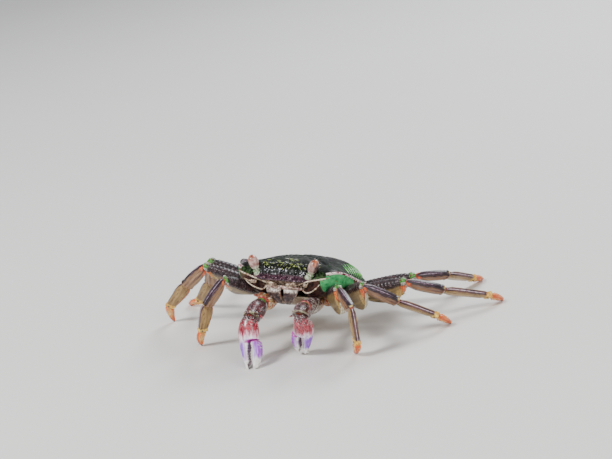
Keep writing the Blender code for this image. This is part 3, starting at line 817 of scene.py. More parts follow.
# %% A segment between two joints
def unit(vector):
    return np.asarray(vector, float) / np.linalg.norm(vector)


def turned(vector, axis, degrees):
    return np.array(Matrix.Rotation(math.radians(degrees), 3, Vector(axis)) @ Vector(vector))


def shared_cut(before, joint, after):
    """Normal of the plane in which two neighbouring segments meet."""
    return unit(unit(joint - before) + unit(after - joint))


def end_shape(t, tuck=0.10, flare=0.03, round_end=0.018):
    """Size along a segment: tucked in where it starts, flared where it ends, both ends rounded."""
    near = np.clip(np.minimum(t, 1 - t) / round_end, 0, 1)
    return rounded(near, 0.70) * (1 - tuck * (1 - smoothstep(0, 0.12, t))) * (1 + flare * bell(t - 0.955, 0.04))


def ring_marks(t, c, s, flat, along, side=1):
    """Marks of a limb's rings: how far along and round, on which face, and the place on the piece in mm."""
    ones = np.ones(np.broadcast_shapes(t.shape, c.shape))
    local = np.concatenate([flat, (along * ones)[..., None]], -1) / MM
    rounds = np.abs(np.arctan2(s, c)) / math.pi * ones
    return {"along": t * ones, "round": rounds, "face": s * ones * side, "local": local}


def segment(start, end, cuts, gaps, wide, rows, relief, count, scale=1.0, bow=0.0, side=1):
    """Rings of a segment and its marks. wide points to the outer side of the bend."""
    axis = unit(end - start)
    across = unit(np.cross(axis, wide))
    wide = np.cross(across, axis)
    t, turn = eased(count[0])[:, None], full_turn(count[1])[None, :]
    outer, inner, thick = (column[:, None] for column in smooth_rows(rows, t[:, 0]).T)
    c, s = np.cos(turn), np.sin(turn)
    reach = np.where(c > 0, outer, inner)
    lean = np.stack([c / reach, s / thick], -1)
    lean /= np.linalg.norm(lean, axis=-1, keepdims=True)
    flat = np.stack([reach * c, thick * signed_power(s, 0.85)], -1) + lean * relief(t, c, s)[..., None]
    flat = flat * end_shape(t)[..., None] * scale * WIDTH
    off = flat[..., :1] * wide + flat[..., 1:] * across
    first = (gaps[0] - off @ cuts[0]) / (axis @ cuts[0])
    last = np.linalg.norm(end - start) - (gaps[1] + off @ cuts[1]) / (axis @ cuts[1])
    along = first + (last - first) * t
    bend = bow * WIDTH * np.sin(math.pi * t) * (1 - 0.4 * t)
    rings = start + off + axis * along[..., None] + wide * bend[..., None]
    return rings, ring_marks(t, c, s, flat, along, side)


print("size along a segment:", end_shape(np.linspace(0, 1, 7)).round(2).tolist())

# %% [markdown]
# Each walking leg bends in one plane, which leans forwards and is turned back from straight
# out. Where its joints lie follows from its hip, the lengths and the slopes. Last, the whole
# leg is turned down at the hip until its tip is on the floor, as the solids' legs were.

# %% Joints of the walking legs
HIPS = {1: (0.272, -0.135, -0.205), 2: (0.305, 0.015, -0.205), 3: (0.298, 0.165, -0.205), 4: (0.245, 0.290, -0.200)}
HIP_DEPTH = 0.07  # how far the first segment starts inside the body
LEG_LENGTHS = {
    1: (0.12, 0.38, 0.27, 0.29, 0.17),
    2: (0.13, 0.48, 0.32, 0.35, 0.18),
    3: (0.13, 0.51, 0.35, 0.405, 0.16),
    4: (0.12, 0.50, 0.30, 0.365, 0.14),
}
LEG_POSES = {  # heading of the plane, its lean, slopes of the segments, turn of the broad merus
    "left_1": (-47, 2, (22, -18, -92, -132), 6),
    "left_2": (-12, 49, (34, -64, -50, -84), -30),
    "left_3": (10, 52, (21, -44, -30, -65), -22),
    "left_4": (29, 58, (12, -25, -49, -57), -12),
    "right_1": (-50, 28, (37, -58, -81, -89), 35),
    "right_2": (-5, 22, (28, -39, -44, -84), 15),
    "right_3": (5, 33, (32, -60, -45, -30), 0),
    "right_4": (36, 40, (9, -14, -40, -60), 0),
}


def leg_layout(name):
    """Side, outward and upward directions of a leg's plane, its six joints and the merus's turn."""
    side, pair = SIDES[name[:-2]], int(name[-1])
    heading, lean, slopes, turn = LEG_POSES[name]
    heading, lean = math.radians(heading), math.radians(lean)
    out = np.array([side * math.cos(heading), math.sin(heading), 0])
    up = math.cos(lean) * np.array([0, 0, 1.0]) - math.sin(lean) * np.cross([0, 0, 1.0], out) * side
    hip = on_body([[side * HIPS[pair][0], *HIPS[pair][1:]]])[0]
    low, high = -25.0, 25.0
    for _ in range(40):
        settle = (low + high) / 2
        angles = np.radians([slopes[0] - settle, slopes[0] - settle, *slopes[1:]])
        steps = np.outer(np.cos(angles), out) + np.outer(np.sin(angles), up)
        joints = hip + np.vstack([np.zeros(3), np.cumsum(steps * np.array(LEG_LENGTHS[pair])[:, None] * WIDTH, 0)])
        low, high = (settle, high) if joints[-1][2] > 0 else (low, settle)
    joints[0] -= unit(joints[1] - joints[0]) * HIP_DEPTH * WIDTH
    return side, out, up, joints, turn


LEGS = {name: leg_layout(name) for name in LEG_POSES}
print("leg tips in mm:", {name: (layout[3][-1] / MM).round(1).tolist() for name, layout in LEGS.items()})

# %% [markdown]
# The merus is the broad flat plate of the leg, with low slanting folds over its upper half and
# two fine keels along its lower edge. The carpus has lengthwise keels, the propodus a crest,
# and the dactyl is a ribbed spike that bends a little inwards. These shapes are numbers in
# tables and sums of small bells: each segment type is made eight times from one description.

# %% Widths of the leg segments
LEG_PROFILES = {
    "coxa": ((0.0, 0.050, 0.052, 0.042), (0.55, 0.058, 0.066, 0.048), (1.0, 0.054, 0.062, 0.040)),
    "merus": ((0.0, 0.048, 0.066, 0.038), (0.18, 0.055, 0.122, 0.046), (0.42, 0.058, 0.168, 0.048),
              (0.66, 0.058, 0.180, 0.044), (0.86, 0.050, 0.142, 0.036), (1.0, 0.038, 0.070, 0.031)),
    "carpus": ((0.0, 0.037, 0.042, 0.029), (0.25, 0.049, 0.053, 0.034), (0.65, 0.059, 0.059, 0.035),
               (1.0, 0.051, 0.053, 0.032)),
    "propodus": ((0.0, 0.050, 0.053, 0.026), (0.2, 0.057, 0.060, 0.027), (0.6, 0.049, 0.053, 0.026),
                 (0.9, 0.040, 0.042, 0.025), (1.0, 0.034, 0.036, 0.024)),
    "dactyl": ((0.0, 0.030, 0.031, 0.022), (0.2, 0.034, 0.036, 0.024), (0.55, 0.026, 0.027, 0.019),
               (0.86, 0.014, 0.014, 0.012), (1.0, 0.005, 0.005, 0.005)),
}
SEGMENTS = tuple(LEG_PROFILES)
MERUS_DEPTH = {"right_1": 0.78, "right_2": 0.86}  # how deep its inner side is, as a share of the table's
print("widest merus in mm:", round(max(outer + inner for _, outer, inner, _ in LEG_PROFILES["merus"]) * WIDTH / MM, 1))


# %% Relief of the leg segments
def coxa_relief(t, c, s):
    return 0.004 * bell(t - 0.75, 0.10) - 0.004 * bell(t - 0.50, 0.05) + 0 * c


def merus_relief(t, c, s):
    folds = wave(15 * t + 0.9 * c) ** 3 * smoothstep(-0.25, 0.45, c)
    folds = folds * smoothstep(0.08, 0.22, t) * smoothstep(0.95, 0.85, t)
    edge = 0.006 * bell(c + 0.90, 0.06) - 0.010 * bell(c + 1.0, 0.035)
    rim = 0.006 * bell(t - 0.935, 0.030) - 0.007 * bell(t - 0.885, 0.022)
    return 0.0035 * folds + 0.005 * bell(c - 0.62, 0.13) + edge * smoothstep(0.05, 0.2, t) + rim


def carpus_relief(t, c, s):
    keels = bell(c - 0.72, 0.12) + bell(c - 0.10, 0.14) + 0.7 * bell(c + 0.62, 0.12)
    return 0.007 * keels * smoothstep(0.04, 0.25, t) * smoothstep(0.98, 0.85, t) + 0.005 * bell(t - 0.95, 0.03)


def propodus_relief(t, c, s):
    keels = bell(c - 0.80, 0.09) + 0.8 * bell(c + 0.80, 0.09)
    return 0.006 * keels * smoothstep(0.02, 0.15, t) + 0.006 * bell(t - 0.95, 0.035) - 0.004 * bell(t - 0.87, 0.03)


def dactyl_relief(t, c, s):
    ribs = np.cos(6 * np.arctan2(s, c))
    return (0.0035 * ribs + 0.004 * bell(t - 0.10, 0.05)) * smoothstep(1.0, 0.8, t)


LEG_RELIEFS = dict(zip(SEGMENTS, (coxa_relief, merus_relief, carpus_relief, propodus_relief, dactyl_relief)))
print("segments with relief:", list(LEG_RELIEFS))

# %% The segments of the legs
LEG_COUNTS = {  # rings, and points in each
    "coxa": (36, 40), "merus": (128, 64), "carpus": (72, 56), "propodus": (80, 56), "dactyl": (64, 48),
}
MERUS_TURN_SHARE = {"coxa": 0.5, "merus": 1, "carpus": 0.35}  # the plates beside the merus follow its turn
ROOM_BEFORE, ROOM_AFTER = 0.26 * MM, 0.14 * MM  # left for the soft skin of a joint
DACTYL_BOW = 0.016


def leg_segments(name):
    """Rings and marks of the five segments of a leg."""
    side, out, up, joints, turn = LEGS[name]
    cuts = [unit(joints[1] - joints[0])]
    cuts += [shared_cut(*joints[k - 1 : k + 2]) for k in range(1, 5)] + [np.array([0, 0, -1.0])]
    made = {}
    for k, kind in enumerate(SEGMENTS):
        axis = unit(joints[k + 1] - joints[k])
        wide = up * (axis @ out) - out * (axis @ up)
        wide = turned(wide, axis, side * MERUS_TURN_SHARE.get(kind, 0) * turn)
        gaps = (ROOM_BEFORE if k else 0, ROOM_AFTER if k < 4 else 0)
        depth = MERUS_DEPTH.get(name, 1) if kind == "merus" else 1
        rows = [(t, outer, inner * depth, thick) for t, outer, inner, thick in LEG_PROFILES[kind]]
        made[kind] = segment(joints[k], joints[k + 1], cuts[k : k + 2], gaps, wide, rows, LEG_RELIEFS[kind],
                             LEG_COUNTS[kind], bow=DACTYL_BOW if kind == "dactyl" else 0.0, side=side)
    return made


leg_parts = {name: leg_segments(name) for name in LEGS}
print("legs:", len(leg_parts), "with", sum(len(parts) for parts in leg_parts.values()), "segments")

# %% [markdown]
# A leg is dark along its outer side, with a thin pale line there that is partly painted highlight,
# and tan within, with a cream inner edge; each knee has a green patch and orange skin beside it.
# Those colours follow the leg, not the room, so the finish mixes them by marks that the segments
# carry: how far along, and how far round from the outer edge. Noise moves each border, because a
# straight one looks taped on.

# %% Finishes of the upper leg
def leg_done(f, rough, depth):
    """Ends a leg's finish with a fine grain that runs partly along the leg."""
    return f.done(rough, f.place.noise(0.30) * 0.5 + f.streak(0.25).noise(0.5) * 0.5, depth)


def merus_finish():
    f = Finish("leg_merus", 0.14, 0.18, Specular_IOR_Level=0.36)
    along, rounds, streak = f.mark("along"), f.mark("round"), f.streak(0.22)
    low = streak.patches(1.2, (88, 70, 44), (156, 132, 82), 0.30, 0.70)
    low = (streak.noise(0.6).rise(0.54, 0.68) * 0.55).blend(low, paint(66, 44, 38))
    dark = f.patches(1.2, (20, 13, 19), (66, 44, 48), 0.34, 0.70)
    f.colour = f.wavy(rounds, 1.8, 0.24, 4).rise(0.54, 0.36).blend(low, dark)
    lilac = f.place.flecks(0.32, 0.61, 1.8) * rounds.rise(0.46, 0.34) * 0.8
    f.lay(lilac, 0.8, (150, 126, 138), (222, 212, 214))
    edge, knee = f.wavy(rounds, 0.9, 0.04), f.wavy(along, 0.7, 0.10)
    f.lay(edge.rise(0.85, 0.89), 1.0, (196, 186, 150), (236, 236, 214))  # the cream inner edge
    f.lay(rounds.near(0.935, 0.022) * 0.7, (104, 74, 52))
    f.lay(knee.rise(0.885, 0.915) * edge.rise(0.28, 0.18), 0.6, (22, 84, 30), (96, 168, 66))
    f.lay(knee.rise(0.90, 0.94) * edge.near(0.30, 0.12) * 0.8, 0.5, (110, 104, 92), (220, 218, 204))
    f.lay(knee.rise(0.860, 0.920) * edge.near(0.60, 0.19), 0.5, (206, 66, 30), (248, 142, 66))
    f.lay(knee.near(0.86, 0.09) * edge.near(0.70, 0.16) * 0.7, 0.6, (184, 138, 66), (228, 196, 112))
    return leg_done(f, (1.5, 0.2, 0.30), 0.08)


def carpus_finish():
    f = Finish("leg_carpus", 0.16, 0.14, Specular_IOR_Level=0.36)
    along, rounds, streak = f.mark("along"), f.mark("round"), f.streak(0.10)
    front, wavy, ending = f.mark("face").rise(-0.15, 0.15), f.wavy(rounds, 1.4, 0.14), f.wavy(along, 0.7, 0.10)
    low = streak.patches(0.8, (92, 56, 48), (168, 130, 92), 0.30, 0.70)
    dark = streak.patches(0.9, (22, 11, 18), (56, 28, 40), 0.34, 0.70)
    f.colour = (wavy.rise(0.17, 0.27) * front).over(wavy.rise(0.56, 0.68)).blend(dark, low)
    fine = streak.noise(0.34, 2).rise(0.58, 0.66) * wavy.rise(0.66, 0.40) * along.rise(0.90, 0.60)
    f.lay(fine * 0.45, (140, 116, 138))
    # The pale lilac lines along the top edge are partly the leg's own lines and partly painted highlight; the mask
    # below breaks them with noise.
    pale_line_and_glint = streak.noise(0.9).rise(0.30, 0.46) * along.rise(0.06, 0.22) * along.rise(0.99, 0.86)
    width = (1 - along) * 0.012 + 0.014
    outer = 1 - (rounds / width).rise(0.45, 0.95)
    lines = outer.over(rounds.near(0.22, 0.020) * (1 - front) * 0.4) * pale_line_and_glint
    f.lay(lines * 0.9, 0.8, (128, 98, 124), (206, 184, 202))
    f.lay(f.place.flecks(0.34, 0.57, 1.4) * rounds.rise(0.30, 0.50) * (1 - front), (216, 202, 190))
    f.lay(wavy.rise(0.84, 0.96), 0.8, (168, 82, 44), (216, 148, 88))
    spots = f.patches(0.5, (206, 66, 34), (244, 128, 70))
    f.lay(ending.rise(0.14, 0.07) * wavy.near(0.30, 0.17), spots)
    f.lay(ending.rise(0.19, 0.10) * wavy.rise(0.58, 0.70), spots)
    f.lay(ending.rise(0.93, 0.97) * wavy.rise(0.16, 0.04), 0.6, (186, 140, 70), (232, 206, 130))
    f.lay(ending.rise(0.97, 0.99) * 0.6, 0.7, (120, 82, 60), (206, 176, 150))
    return leg_done(f, (1.5, 0.2, 0.22), 0.08)


# %% Finishes of the lower leg
def propodus_finish():
    f = Finish("leg_propodus", 0.16, 0.16, Specular_IOR_Level=0.38)
    along, rounds, streak = f.mark("along"), f.mark("round"), f.streak(0.12)
    wavy = f.wavy(rounds, 1.3, 0.10)
    f.colour = streak.patches(0.9, (112, 82, 46), (180, 146, 88), 0.28, 0.72)
    f.lay(streak.noise(0.40, 2).rise(0.56, 0.68) * 0.5, (96, 66, 50))
    f.lay(f.streak(0.35).flecks(0.42, 0.56, 1.6) * 0.8, (66, 40, 36))
    f.lay(wavy.rise(0.22, 0.13), streak.patches(0.9, (40, 22, 32), (92, 58, 60), 0.34, 0.68))
    # The thin pink-white line on the top edge is partly the leg's own pale line and partly painted highlight; the mask
    # below breaks it with noise.
    pale_line_and_glint = streak.noise(1.1).rise(0.28, 0.42) * along.rise(0.92, 0.84)
    f.lay((1 - rounds.rise(0.012, 0.028)) * pale_line_and_glint, 0.9, (176, 132, 154), (236, 214, 222))
    f.lay(wavy.rise(0.72, 0.86), 0.7, (124, 36, 34), (200, 84, 56))
    f.lay(f.wavy(along, 0.9, 0.06).rise(0.85, 0.90), 0.8, (202, 140, 48), (238, 206, 104))
    off = f.wire.node("ShaderNodeCombineXYZ", {}, {"X": rounds - 0.40, "Y": along - 0.925, "Z": 0.0})
    knob = off.stretched(12.0, 29.0, 0.0)
    f.lay(knob.vectors("LENGTH", knob, output=1).rise(1.0, 0.55) * 0.9, (58, 44, 62))
    return leg_done(f, (1.5, 0.2, 0.28), 0.07)


def dactyl_finish():
    f = Finish("leg_dactyl", 0.3, 0.16)
    along, rounds, streak = f.mark("along"), f.mark("round"), f.streak(0.15)
    f.colour = streak.patches(0.7, (204, 146, 66), (244, 216, 136))
    f.lay(streak.noise(0.4).rise(0.52, 0.60), 0.7, (206, 96, 36), (238, 140, 62))
    edges = rounds.rise(0.36, 0.22).over(rounds.rise(0.74, 0.86))
    f.lay(edges, streak.patches(0.7, (196, 72, 22), (234, 118, 38)))
    f.lay(f.wavy(along, 0.7, 0.2).rise(0.45, 0.85), 0.7, (192, 68, 18), (230, 112, 32))
    f.lay(along.rise(0.90, 0.97), (74, 40, 26))
    return leg_done(f, (0.8, 0.2, 0.28), 0.06)


def coxa_finish():
    f = Finish("leg_coxa", 0.25, 0.18)
    f.colour = f.patches(1.5, (132, 100, 66), (206, 182, 142))
    f.lay(f.place.noise(1.3, 4, warp=0.6).rise(0.50, 0.60), 0.9, (160, 66, 32), (214, 118, 62))
    f.lay(f.mark("along").rise(0.88, 0.95), 0.7, (176, 70, 40), (226, 140, 90))
    return f.done((1.2, 0.2, 0.32), f.place.noise(0.35, 4), 0.08)


LEG_FINISHES = dict(zip(SEGMENTS, (coxa_finish(), merus_finish(), carpus_finish(), propodus_finish(), dactyl_finish())))
print("leg finishes:", {kind: len(finish.node_tree.nodes) for kind, finish in LEG_FINISHES.items()})

# %% [markdown]
# Between two segments the shell is soft and bright: a bag of orange skin with lengthwise
# creases. A short tube in each gap, a little thinner than the rims beside it, shows as a
# coloured seam that closes the joint from every side.

# %% Leg pieces and their joint skins
SKIN_SIDES, RIM_ROW = 40, 4  # the skin starts from the fourth ring inside each rim


def evenly(rings):
    """The same closed rings with another number of points, taken evenly by index."""
    sides = rings.shape[1]
    spot = np.arange(SKIN_SIDES) * sides / SKIN_SIDES
    low = np.floor(spot).astype(int)
    part = (spot - low)[:, None]
    return rings[:, low] * (1 - part) + rings[:, (low + 1) % sides] * part


def skin_finish():
    f = Finish("joint_skin", 0.4, 0.2, 1.45)
    f.colour = f.patches(0.6, (128, 30, 26), (204, 84, 48))
    f.lay(f.wavy(f.mark("round"), 0.9, 0.2).near(0.40, 0.22), 0.6, (92, 66, 56), (190, 170, 148))
    return f.done((0.8, 0.25, 0.3), f.place.noise(0.3), 0.08)


SKIN = skin_finish()


def add_skin(name, slot, before, after, swell=0.93):
    """Soft skin from inside one segment's far end to inside the next one's near end."""
    first, last = before[-RIM_ROW], after[RIM_ROW - 1]
    centre, rings = (first.mean(0), last.mean(0)), []
    for t in np.linspace(-0.6, 1.6, 12):
        share = np.clip(t, 0, 1)
        shape = (first - centre[0]) * (1 - share) + (last - centre[1]) * share
        rings.append(centre[0] + (centre[1] - centre[0]) * t + shape * swell * (0.80 + 0.20 * bell(t - 0.5, 0.75)))
    rounds = 1 - np.abs(1 - np.linspace(0, 2, SKIN_SIDES, endpoint=False)) * np.ones((len(rings), 1))
    keep(add_rings(name, np.array(rings), SKIN, round=rounds), slot)


def add_limb(name, slot, node, finish, part):
    rings, marks = part
    keep(add_rings(name, rings, finish, 50, **marks), slot, node)


for name, parts in leg_parts.items():
    side_word, pair = name.split("_")
    for kind, part in parts.items():
        slot = "leg_tip" if kind == "dactyl" else "leg_shell"
        add_limb(f"{side_word}_leg_{pair}_{kind}", slot, f"leg_{name}_{kind}", LEG_FINISHES[kind], part)
    for before, after in zip(SEGMENTS, SEGMENTS[1:]):
        add_skin(f"{side_word}_leg_{pair}_skin_{after}", "leg_shell", evenly(parts[before][0]), evenly(parts[after][0]))
print("leg triangles:", sum(triangles(obj) for key, (obj, _, _) in pieces.items() if "_leg_" in key))

# %% [markdown]
# The claws hang in front of the mouth. Arm and wrist are segments like those of the legs, but
# rounder. The palm and its fixed finger are one plate: its inner side steps in sharply where
# the moving finger is hinged. Both fingers end in hollow spoons, which scrape algae off rock.

# %% Joints and widths of the claws
CLAW_JOINTS = {
    "left": ((10.6, -11.5, 12.6), (11.0, -23.9, 15.5), (14.2, -33.2, 16.4), (9.6, -27.2, 1.0)),
    "right": ((-7.9, -10.5, 13.4), (-6.0, -22.5, 16.4), (-5.4, -32.5, 15.0), (-3.1, -41.1, 0.0)),
}
HAND_SIZE, ARM_SIZE = {"left": 0.94, "right": 1.0}, 0.86
CLAW_MERUS = ((0.0, 0.048, 0.050, 0.045), (0.5, 0.072, 0.080, 0.062), (1.0, 0.066, 0.070, 0.056))
CLAW_CARPUS = ((0.0, 0.066, 0.070, 0.060), (0.4, 0.090, 0.094, 0.077), (1.0, 0.076, 0.080, 0.068))
KNUCKLE, HINGE_GAP = 0.45, 0.012
PALM = (  # place along the hand, inner and outer edge from its middle line, half thickness
    (0.0, 0.050, -0.060, 0.051), (0.08, 0.058, -0.086, 0.063), (0.20, 0.063, -0.104, 0.071),
    (0.34, 0.066, -0.109, 0.071), (0.45, 0.070, -0.102, 0.064),
)
FIXED_FINGER = (
    (0.45, -0.002, -0.098, 0.058), (0.588, -0.006, -0.092, 0.054), (0.752, -0.012, -0.074, 0.046),
    (0.90, -0.010, -0.054, 0.038), (1.0, -0.008, -0.040, 0.024),
)
MOVING_FINGER = (  # its outer edge comes first
    (0.45, 0.002, 0.084, 0.056), (0.588, 0.008, 0.094, 0.054), (0.752, 0.014, 0.090, 0.048),
    (0.90, 0.014, 0.068, 0.038), (1.0, 0.010, 0.046, 0.024),
)
print("right hand in mm:", round(math.dist(*CLAW_JOINTS["right"][2:]), 1))


# %% Rings of the claws
def arm_relief(t, c, s):
    folds = wave(9 * t + 0.6 * c) ** 3 * smoothstep(-0.3, 0.3, c)
    return 0.005 * folds * smoothstep(0.1, 0.3, t) * smoothstep(0.95, 0.85, t) + 0.007 * bell(t - 0.93, 0.04)


def wrist_relief(t, c, s):
    return 0.006 * bell(t - 0.92, 0.05) + 0.006 * bell(np.arctan2(s, c) - 0.3, 0.5) * bell(t - 0.55, 0.25)


def claw_joints(word):
    return [np.array(joint) * MM + np.array(STANCE) for joint in CLAW_JOINTS[word]]


def hand_rows(finger):
    """Places along the hand with its inner and outer edges and half thickness there."""
    if finger:
        t = KNUCKLE + HINGE_GAP + (1 - HINGE_GAP - KNUCKLE) * eased(96)
        outer, inner, thick = smooth_rows(MOVING_FINGER, t).T
        return t, inner, outer, thick
    t = np.sort(np.concatenate([0.44 * eased(60, 0.93), np.linspace(0.437, 0.475, 22),
                                0.478 + 0.522 * np.sin(np.linspace(0, math.pi / 2, 70))]))
    palm, fixed = smooth_rows(PALM, np.minimum(t, KNUCKLE)), smooth_rows(FIXED_FINGER, np.maximum(t, KNUCKLE))
    share = smoothstep(0.438, 0.470, t)[:, None]
    return t, *(palm * (1 - share) + fixed * share).T


def hand_rings(word, finger):
    """The palm with its fixed finger, or the moving finger alone, as rings and marks."""
    _, elbow, wrist, tip = claw_joints(word)
    medial = np.array([-SIDES[word], 0.0, 0.0])
    axis, length = unit(tip - wrist), np.linalg.norm(tip - wrist)
    wide = unit(medial - axis * (medial @ axis))
    across, cut = np.cross(axis, wide), shared_cut(elbow, wrist, tip)
    t, inner, outer, thick = (column[:, None] for column in hand_rows(finger))
    turn = full_turn(72)[None, :]
    c, s = np.cos(turn), np.sin(turn)
    gape = -c if finger else c  # 1 on the side that faces the other finger
    base = np.clip((t - KNUCKLE - HINGE_GAP) / 0.05 if finger else t / 0.02, 0, 1)
    lip = rounded(np.clip((1.0 - t) / 0.035, 0, 1), 0.35) * rounded(base, 0.55)
    spoon = smoothstep(0.86, 0.95, t) * smoothstep(0.35, 0.95, gape) * 0.030
    spoon = spoon + bell(t - 0.66, 0.13) * smoothstep(0.0, 0.9, gape) * 0.008
    fingers = smoothstep(KNUCKLE, KNUCKLE + 0.08, t)
    teeth = fingers * smoothstep(0.55, 1.0, gape) * smoothstep(0.90, 0.84, t) * wave(19 * t) ** 2 * 0.007
    ridge = 0.006 * bell(np.sin(turn) - 0.2, 0.18) * smoothstep(0.0, 0.5, -gape) * fingers
    reach = np.abs(inner - outer) / 2 * lip * c + (teeth - spoon) * (-1 if finger else 1)
    swell = 1 + (0.05 * bell(t - KNUCKLE - 0.05, 0.03) if finger else 0.06 * bell(t - 0.20, 0.10))
    deep = thick * lip * swell * signed_power(s, 0.92) + ridge * np.sign(s)
    flat = np.stack([(inner + outer) / 2 + reach, deep], -1) * HAND_SIZE[word] * WIDTH
    off = flat[..., :1] * wide + flat[..., 1:] * across
    along = length * t
    if not finger:  # the palm starts in the plane that it shares with the wrist
        along = along + (ROOM_BEFORE - off @ cut) / (axis @ cut) * (1 - np.clip(t / 0.25, 0, 1))
    rings = wrist + off + axis * (along * np.ones_like(reach))[..., None]
    rings[..., 2] = np.maximum(rings[..., 2], 0)  # the tip is flat where it stands
    marks = ring_marks(t, c, s, flat, along, SIDES[word])
    return rings, dict(marks, gape=gape * np.ones_like(reach), moving=np.full(reach.shape, float(finger)))


print("hands:", hand_rings("right", False)[0].shape, hand_rings("right", True)[0].shape)

# %% Finishes of the claws
def arm_finish():
    f = Finish("claw_arm", 0.35, 0.16)
    along, rounds, right = (f.mark(name) for name in ("along", "round", "right"))
    f.colour = f.patches(1.5, (150, 142, 132), (228, 226, 216))
    f.lay(f.wavy(along, 1.5, 0.4).rise(0.45, 0.10).over(right), 1.3, (172, 70, 30), (236, 200, 132), 0.40, 0.62)
    mottle = f.place.noise(0.8, 4, warp=0.6) - rounds * 0.14 + along * 0.10 - right * 0.08
    f.lay(mottle.rise(0.46, 0.53), 0.8, (44, 18, 28), (92, 48, 58))
    f.lay(along.rise(0.965, 0.985), 0.6, (120, 26, 32), (190, 70, 54))
    return f.done((1.2, 0.2, 0.26), f.place.noise(0.35, 4), 0.09)


def wrist_finish():
    f = Finish("claw_wrist", 0.4, 0.12)
    rounds, ending = f.mark("round"), f.wavy(f.mark("along"), 0.7, 0.16)
    f.colour = f.patches(1.2, (28, 8, 16), (92, 24, 36))
    f.lay(f.place.flecks(0.30, 0.58, 1.4), 0.5, (196, 150, 164), (244, 234, 236))
    f.lay(ending.near(0.12, 0.09) * f.wavy(rounds, 0.8, 0.2).near(0.20, 0.22), 0.7, (24, 104, 34), (104, 188, 80))
    f.lay(ending.near(0.11, 0.08) * rounds.near(0.52, 0.14), 0.5, (200, 200, 206), (246, 246, 248))
    olive = ending.near(0.96, 0.05) * f.place.noise(1.1).rise(0.46, 0.54) * rounds.rise(0.60, 0.40)
    f.lay(olive * 0.7, 0.5, (110, 120, 62), (206, 204, 168))
    return f.done((1.2, 0.2, 0.20), f.place.noise(0.35, 4), 0.09)


def hand_finish():
    f = Finish("claw_hand", 0.4, 0.10)
    along, gape, moving = (f.mark(name) for name in ("along", "gape", "moving"))
    place, streak = f.place, f.streak(0.20)
    far = along + streak.noise(0.8, 4) * 0.32 - 0.16
    red = f.streak(0.4).patches(0.7, (118, 20, 42), (186, 60, 74))
    f.colour = f.patches(0.9, (30, 9, 18), (92, 24, 40))
    f.lay(f.wavy(far, 0.9, 0.12).rise(0.06, 0.19), red)
    f.lay(far.rise(0.24, 0.36), streak.patches(0.7, (196, 104, 128), (236, 196, 212), 0.42, 0.58))
    f.lay(far.rise(0.34, 0.46), streak.patches(0.8, (214, 178, 206), (250, 246, 246), 0.38, 0.52))
    stain = place.noise(0.7, 4, warp=0.5).rise(0.54, 0.62) * far.rise(0.42, 0.24) * far.rise(0.10, 0.20)
    f.lay(stain * 0.8, red)
    f.lay(place.flecks(0.30, 0.58, 1.2) * along.rise(0.26, 0.12), (244, 230, 224))
    lilac = streak.noise(1.0).rise(0.50, 0.60) * along.rise(0.32, 0.42)
    f.lay(lilac * 0.85, streak.patches(1.0, (132, 84, 190), (196, 164, 226)))
    outer = gape.rise(0.60, -0.45) * far.rise(0.42, 0.54) * far.rise(0.92, 0.72)
    f.lay(outer, streak.patches(1.1, (168, 104, 222), (206, 168, 236), 0.46, 0.64))
    vivid = moving.blend(paint(138, 70, 206), paint(160, 40, 196))
    f.lay(outer * streak.noise(1.3, 2).rise(0.32, 0.50), vivid)
    root = f.wavy(along, 0.7, 0.05).near(0.465, 0.040)
    f.lay(root * moving.over(gape.rise(0.10, 0.55)), 0.7, (150, 24, 130), (204, 92, 186))
    tips = (along + streak.noise(0.8) * 0.16 - 0.08).rise(0.76, 0.88)
    f.lay(tips, 1.2, (230, 230, 222), (252, 251, 246))
    # The sides of the fingers that face each other are darkened purple-brown: painted shade in the gape between them.
    inside = gape.rise(0.72, 0.93) * along.rise(0.47, 0.52) * along.rise(0.985, 0.95)
    f.lay(inside * 0.85, 0.6, (52, 30, 50), (112, 76, 104))
    return f.done((1.2, 0.18, 0.18), place.noise(0.35) * 0.5 + streak.noise(0.5) * 0.5, 0.07)


ARM, WRIST, HAND = arm_finish(), wrist_finish(), hand_finish()
print("claw finishes:", {finish.name: len(finish.node_tree.nodes) for finish in (ARM, WRIST, HAND)})

# %% Claw pieces
UPWARD = np.array([0, 0, 1.0])


def turned_to(rings, rim):
    """Rings whose first point and sense are turned so that their points lie next to a rim's points."""
    def miss(way):
        start = way[RIM_ROW - 1]
        return ((start - start.mean(0) - rim + rim.mean(0)) ** 2).sum()

    return min((np.roll(way, k, 1) for way in (rings, rings[:, ::-1]) for k in range(SKIN_SIDES)), key=miss)


claw_parts = {}
for word, side in SIDES.items():
    shoulder, elbow, wrist, tip = claw_joints(word)
    cuts = [unit(elbow - shoulder), shared_cut(shoulder, elbow, wrist), shared_cut(elbow, wrist, tip)]
    arm = segment(shoulder, elbow, cuts[:2], (0, ROOM_AFTER), UPWARD, CLAW_MERUS, arm_relief, (72, 56), ARM_SIZE)
    rooms = (ROOM_BEFORE, ROOM_AFTER)
    knob = segment(elbow, wrist, cuts[1:], rooms, UPWARD, CLAW_CARPUS, wrist_relief, (72, 64), ARM_SIZE)
    arm[1]["right"] = np.full(arm[0].shape[:2], float(side < 0))
    parts = {"merus": arm, "carpus": knob, "palm": hand_rings(word, False), "finger": hand_rings(word, True)}
    for (kind, part), finish in zip(parts.items(), (ARM, WRIST, HAND, HAND)):
        add_limb(f"{word}_claw_{kind}", "claw_shell", f"claw_{word}_{kind}", finish, part)
    merus, carpus, palm = (evenly(parts[kind][0]) for kind in ("merus", "carpus", "palm"))
    add_skin(f"{word}_claw_skin_carpus", "claw_shell", merus, carpus, 0.74)
    add_skin(f"{word}_claw_skin_palm", "claw_shell", carpus, turned_to(palm, carpus[-RIM_ROW]), 0.74)
    claw_parts[word] = parts
print("claw triangles:", sum(triangles(obj) for key, (obj, _, _) in pieces.items() if "_claw_" in key))

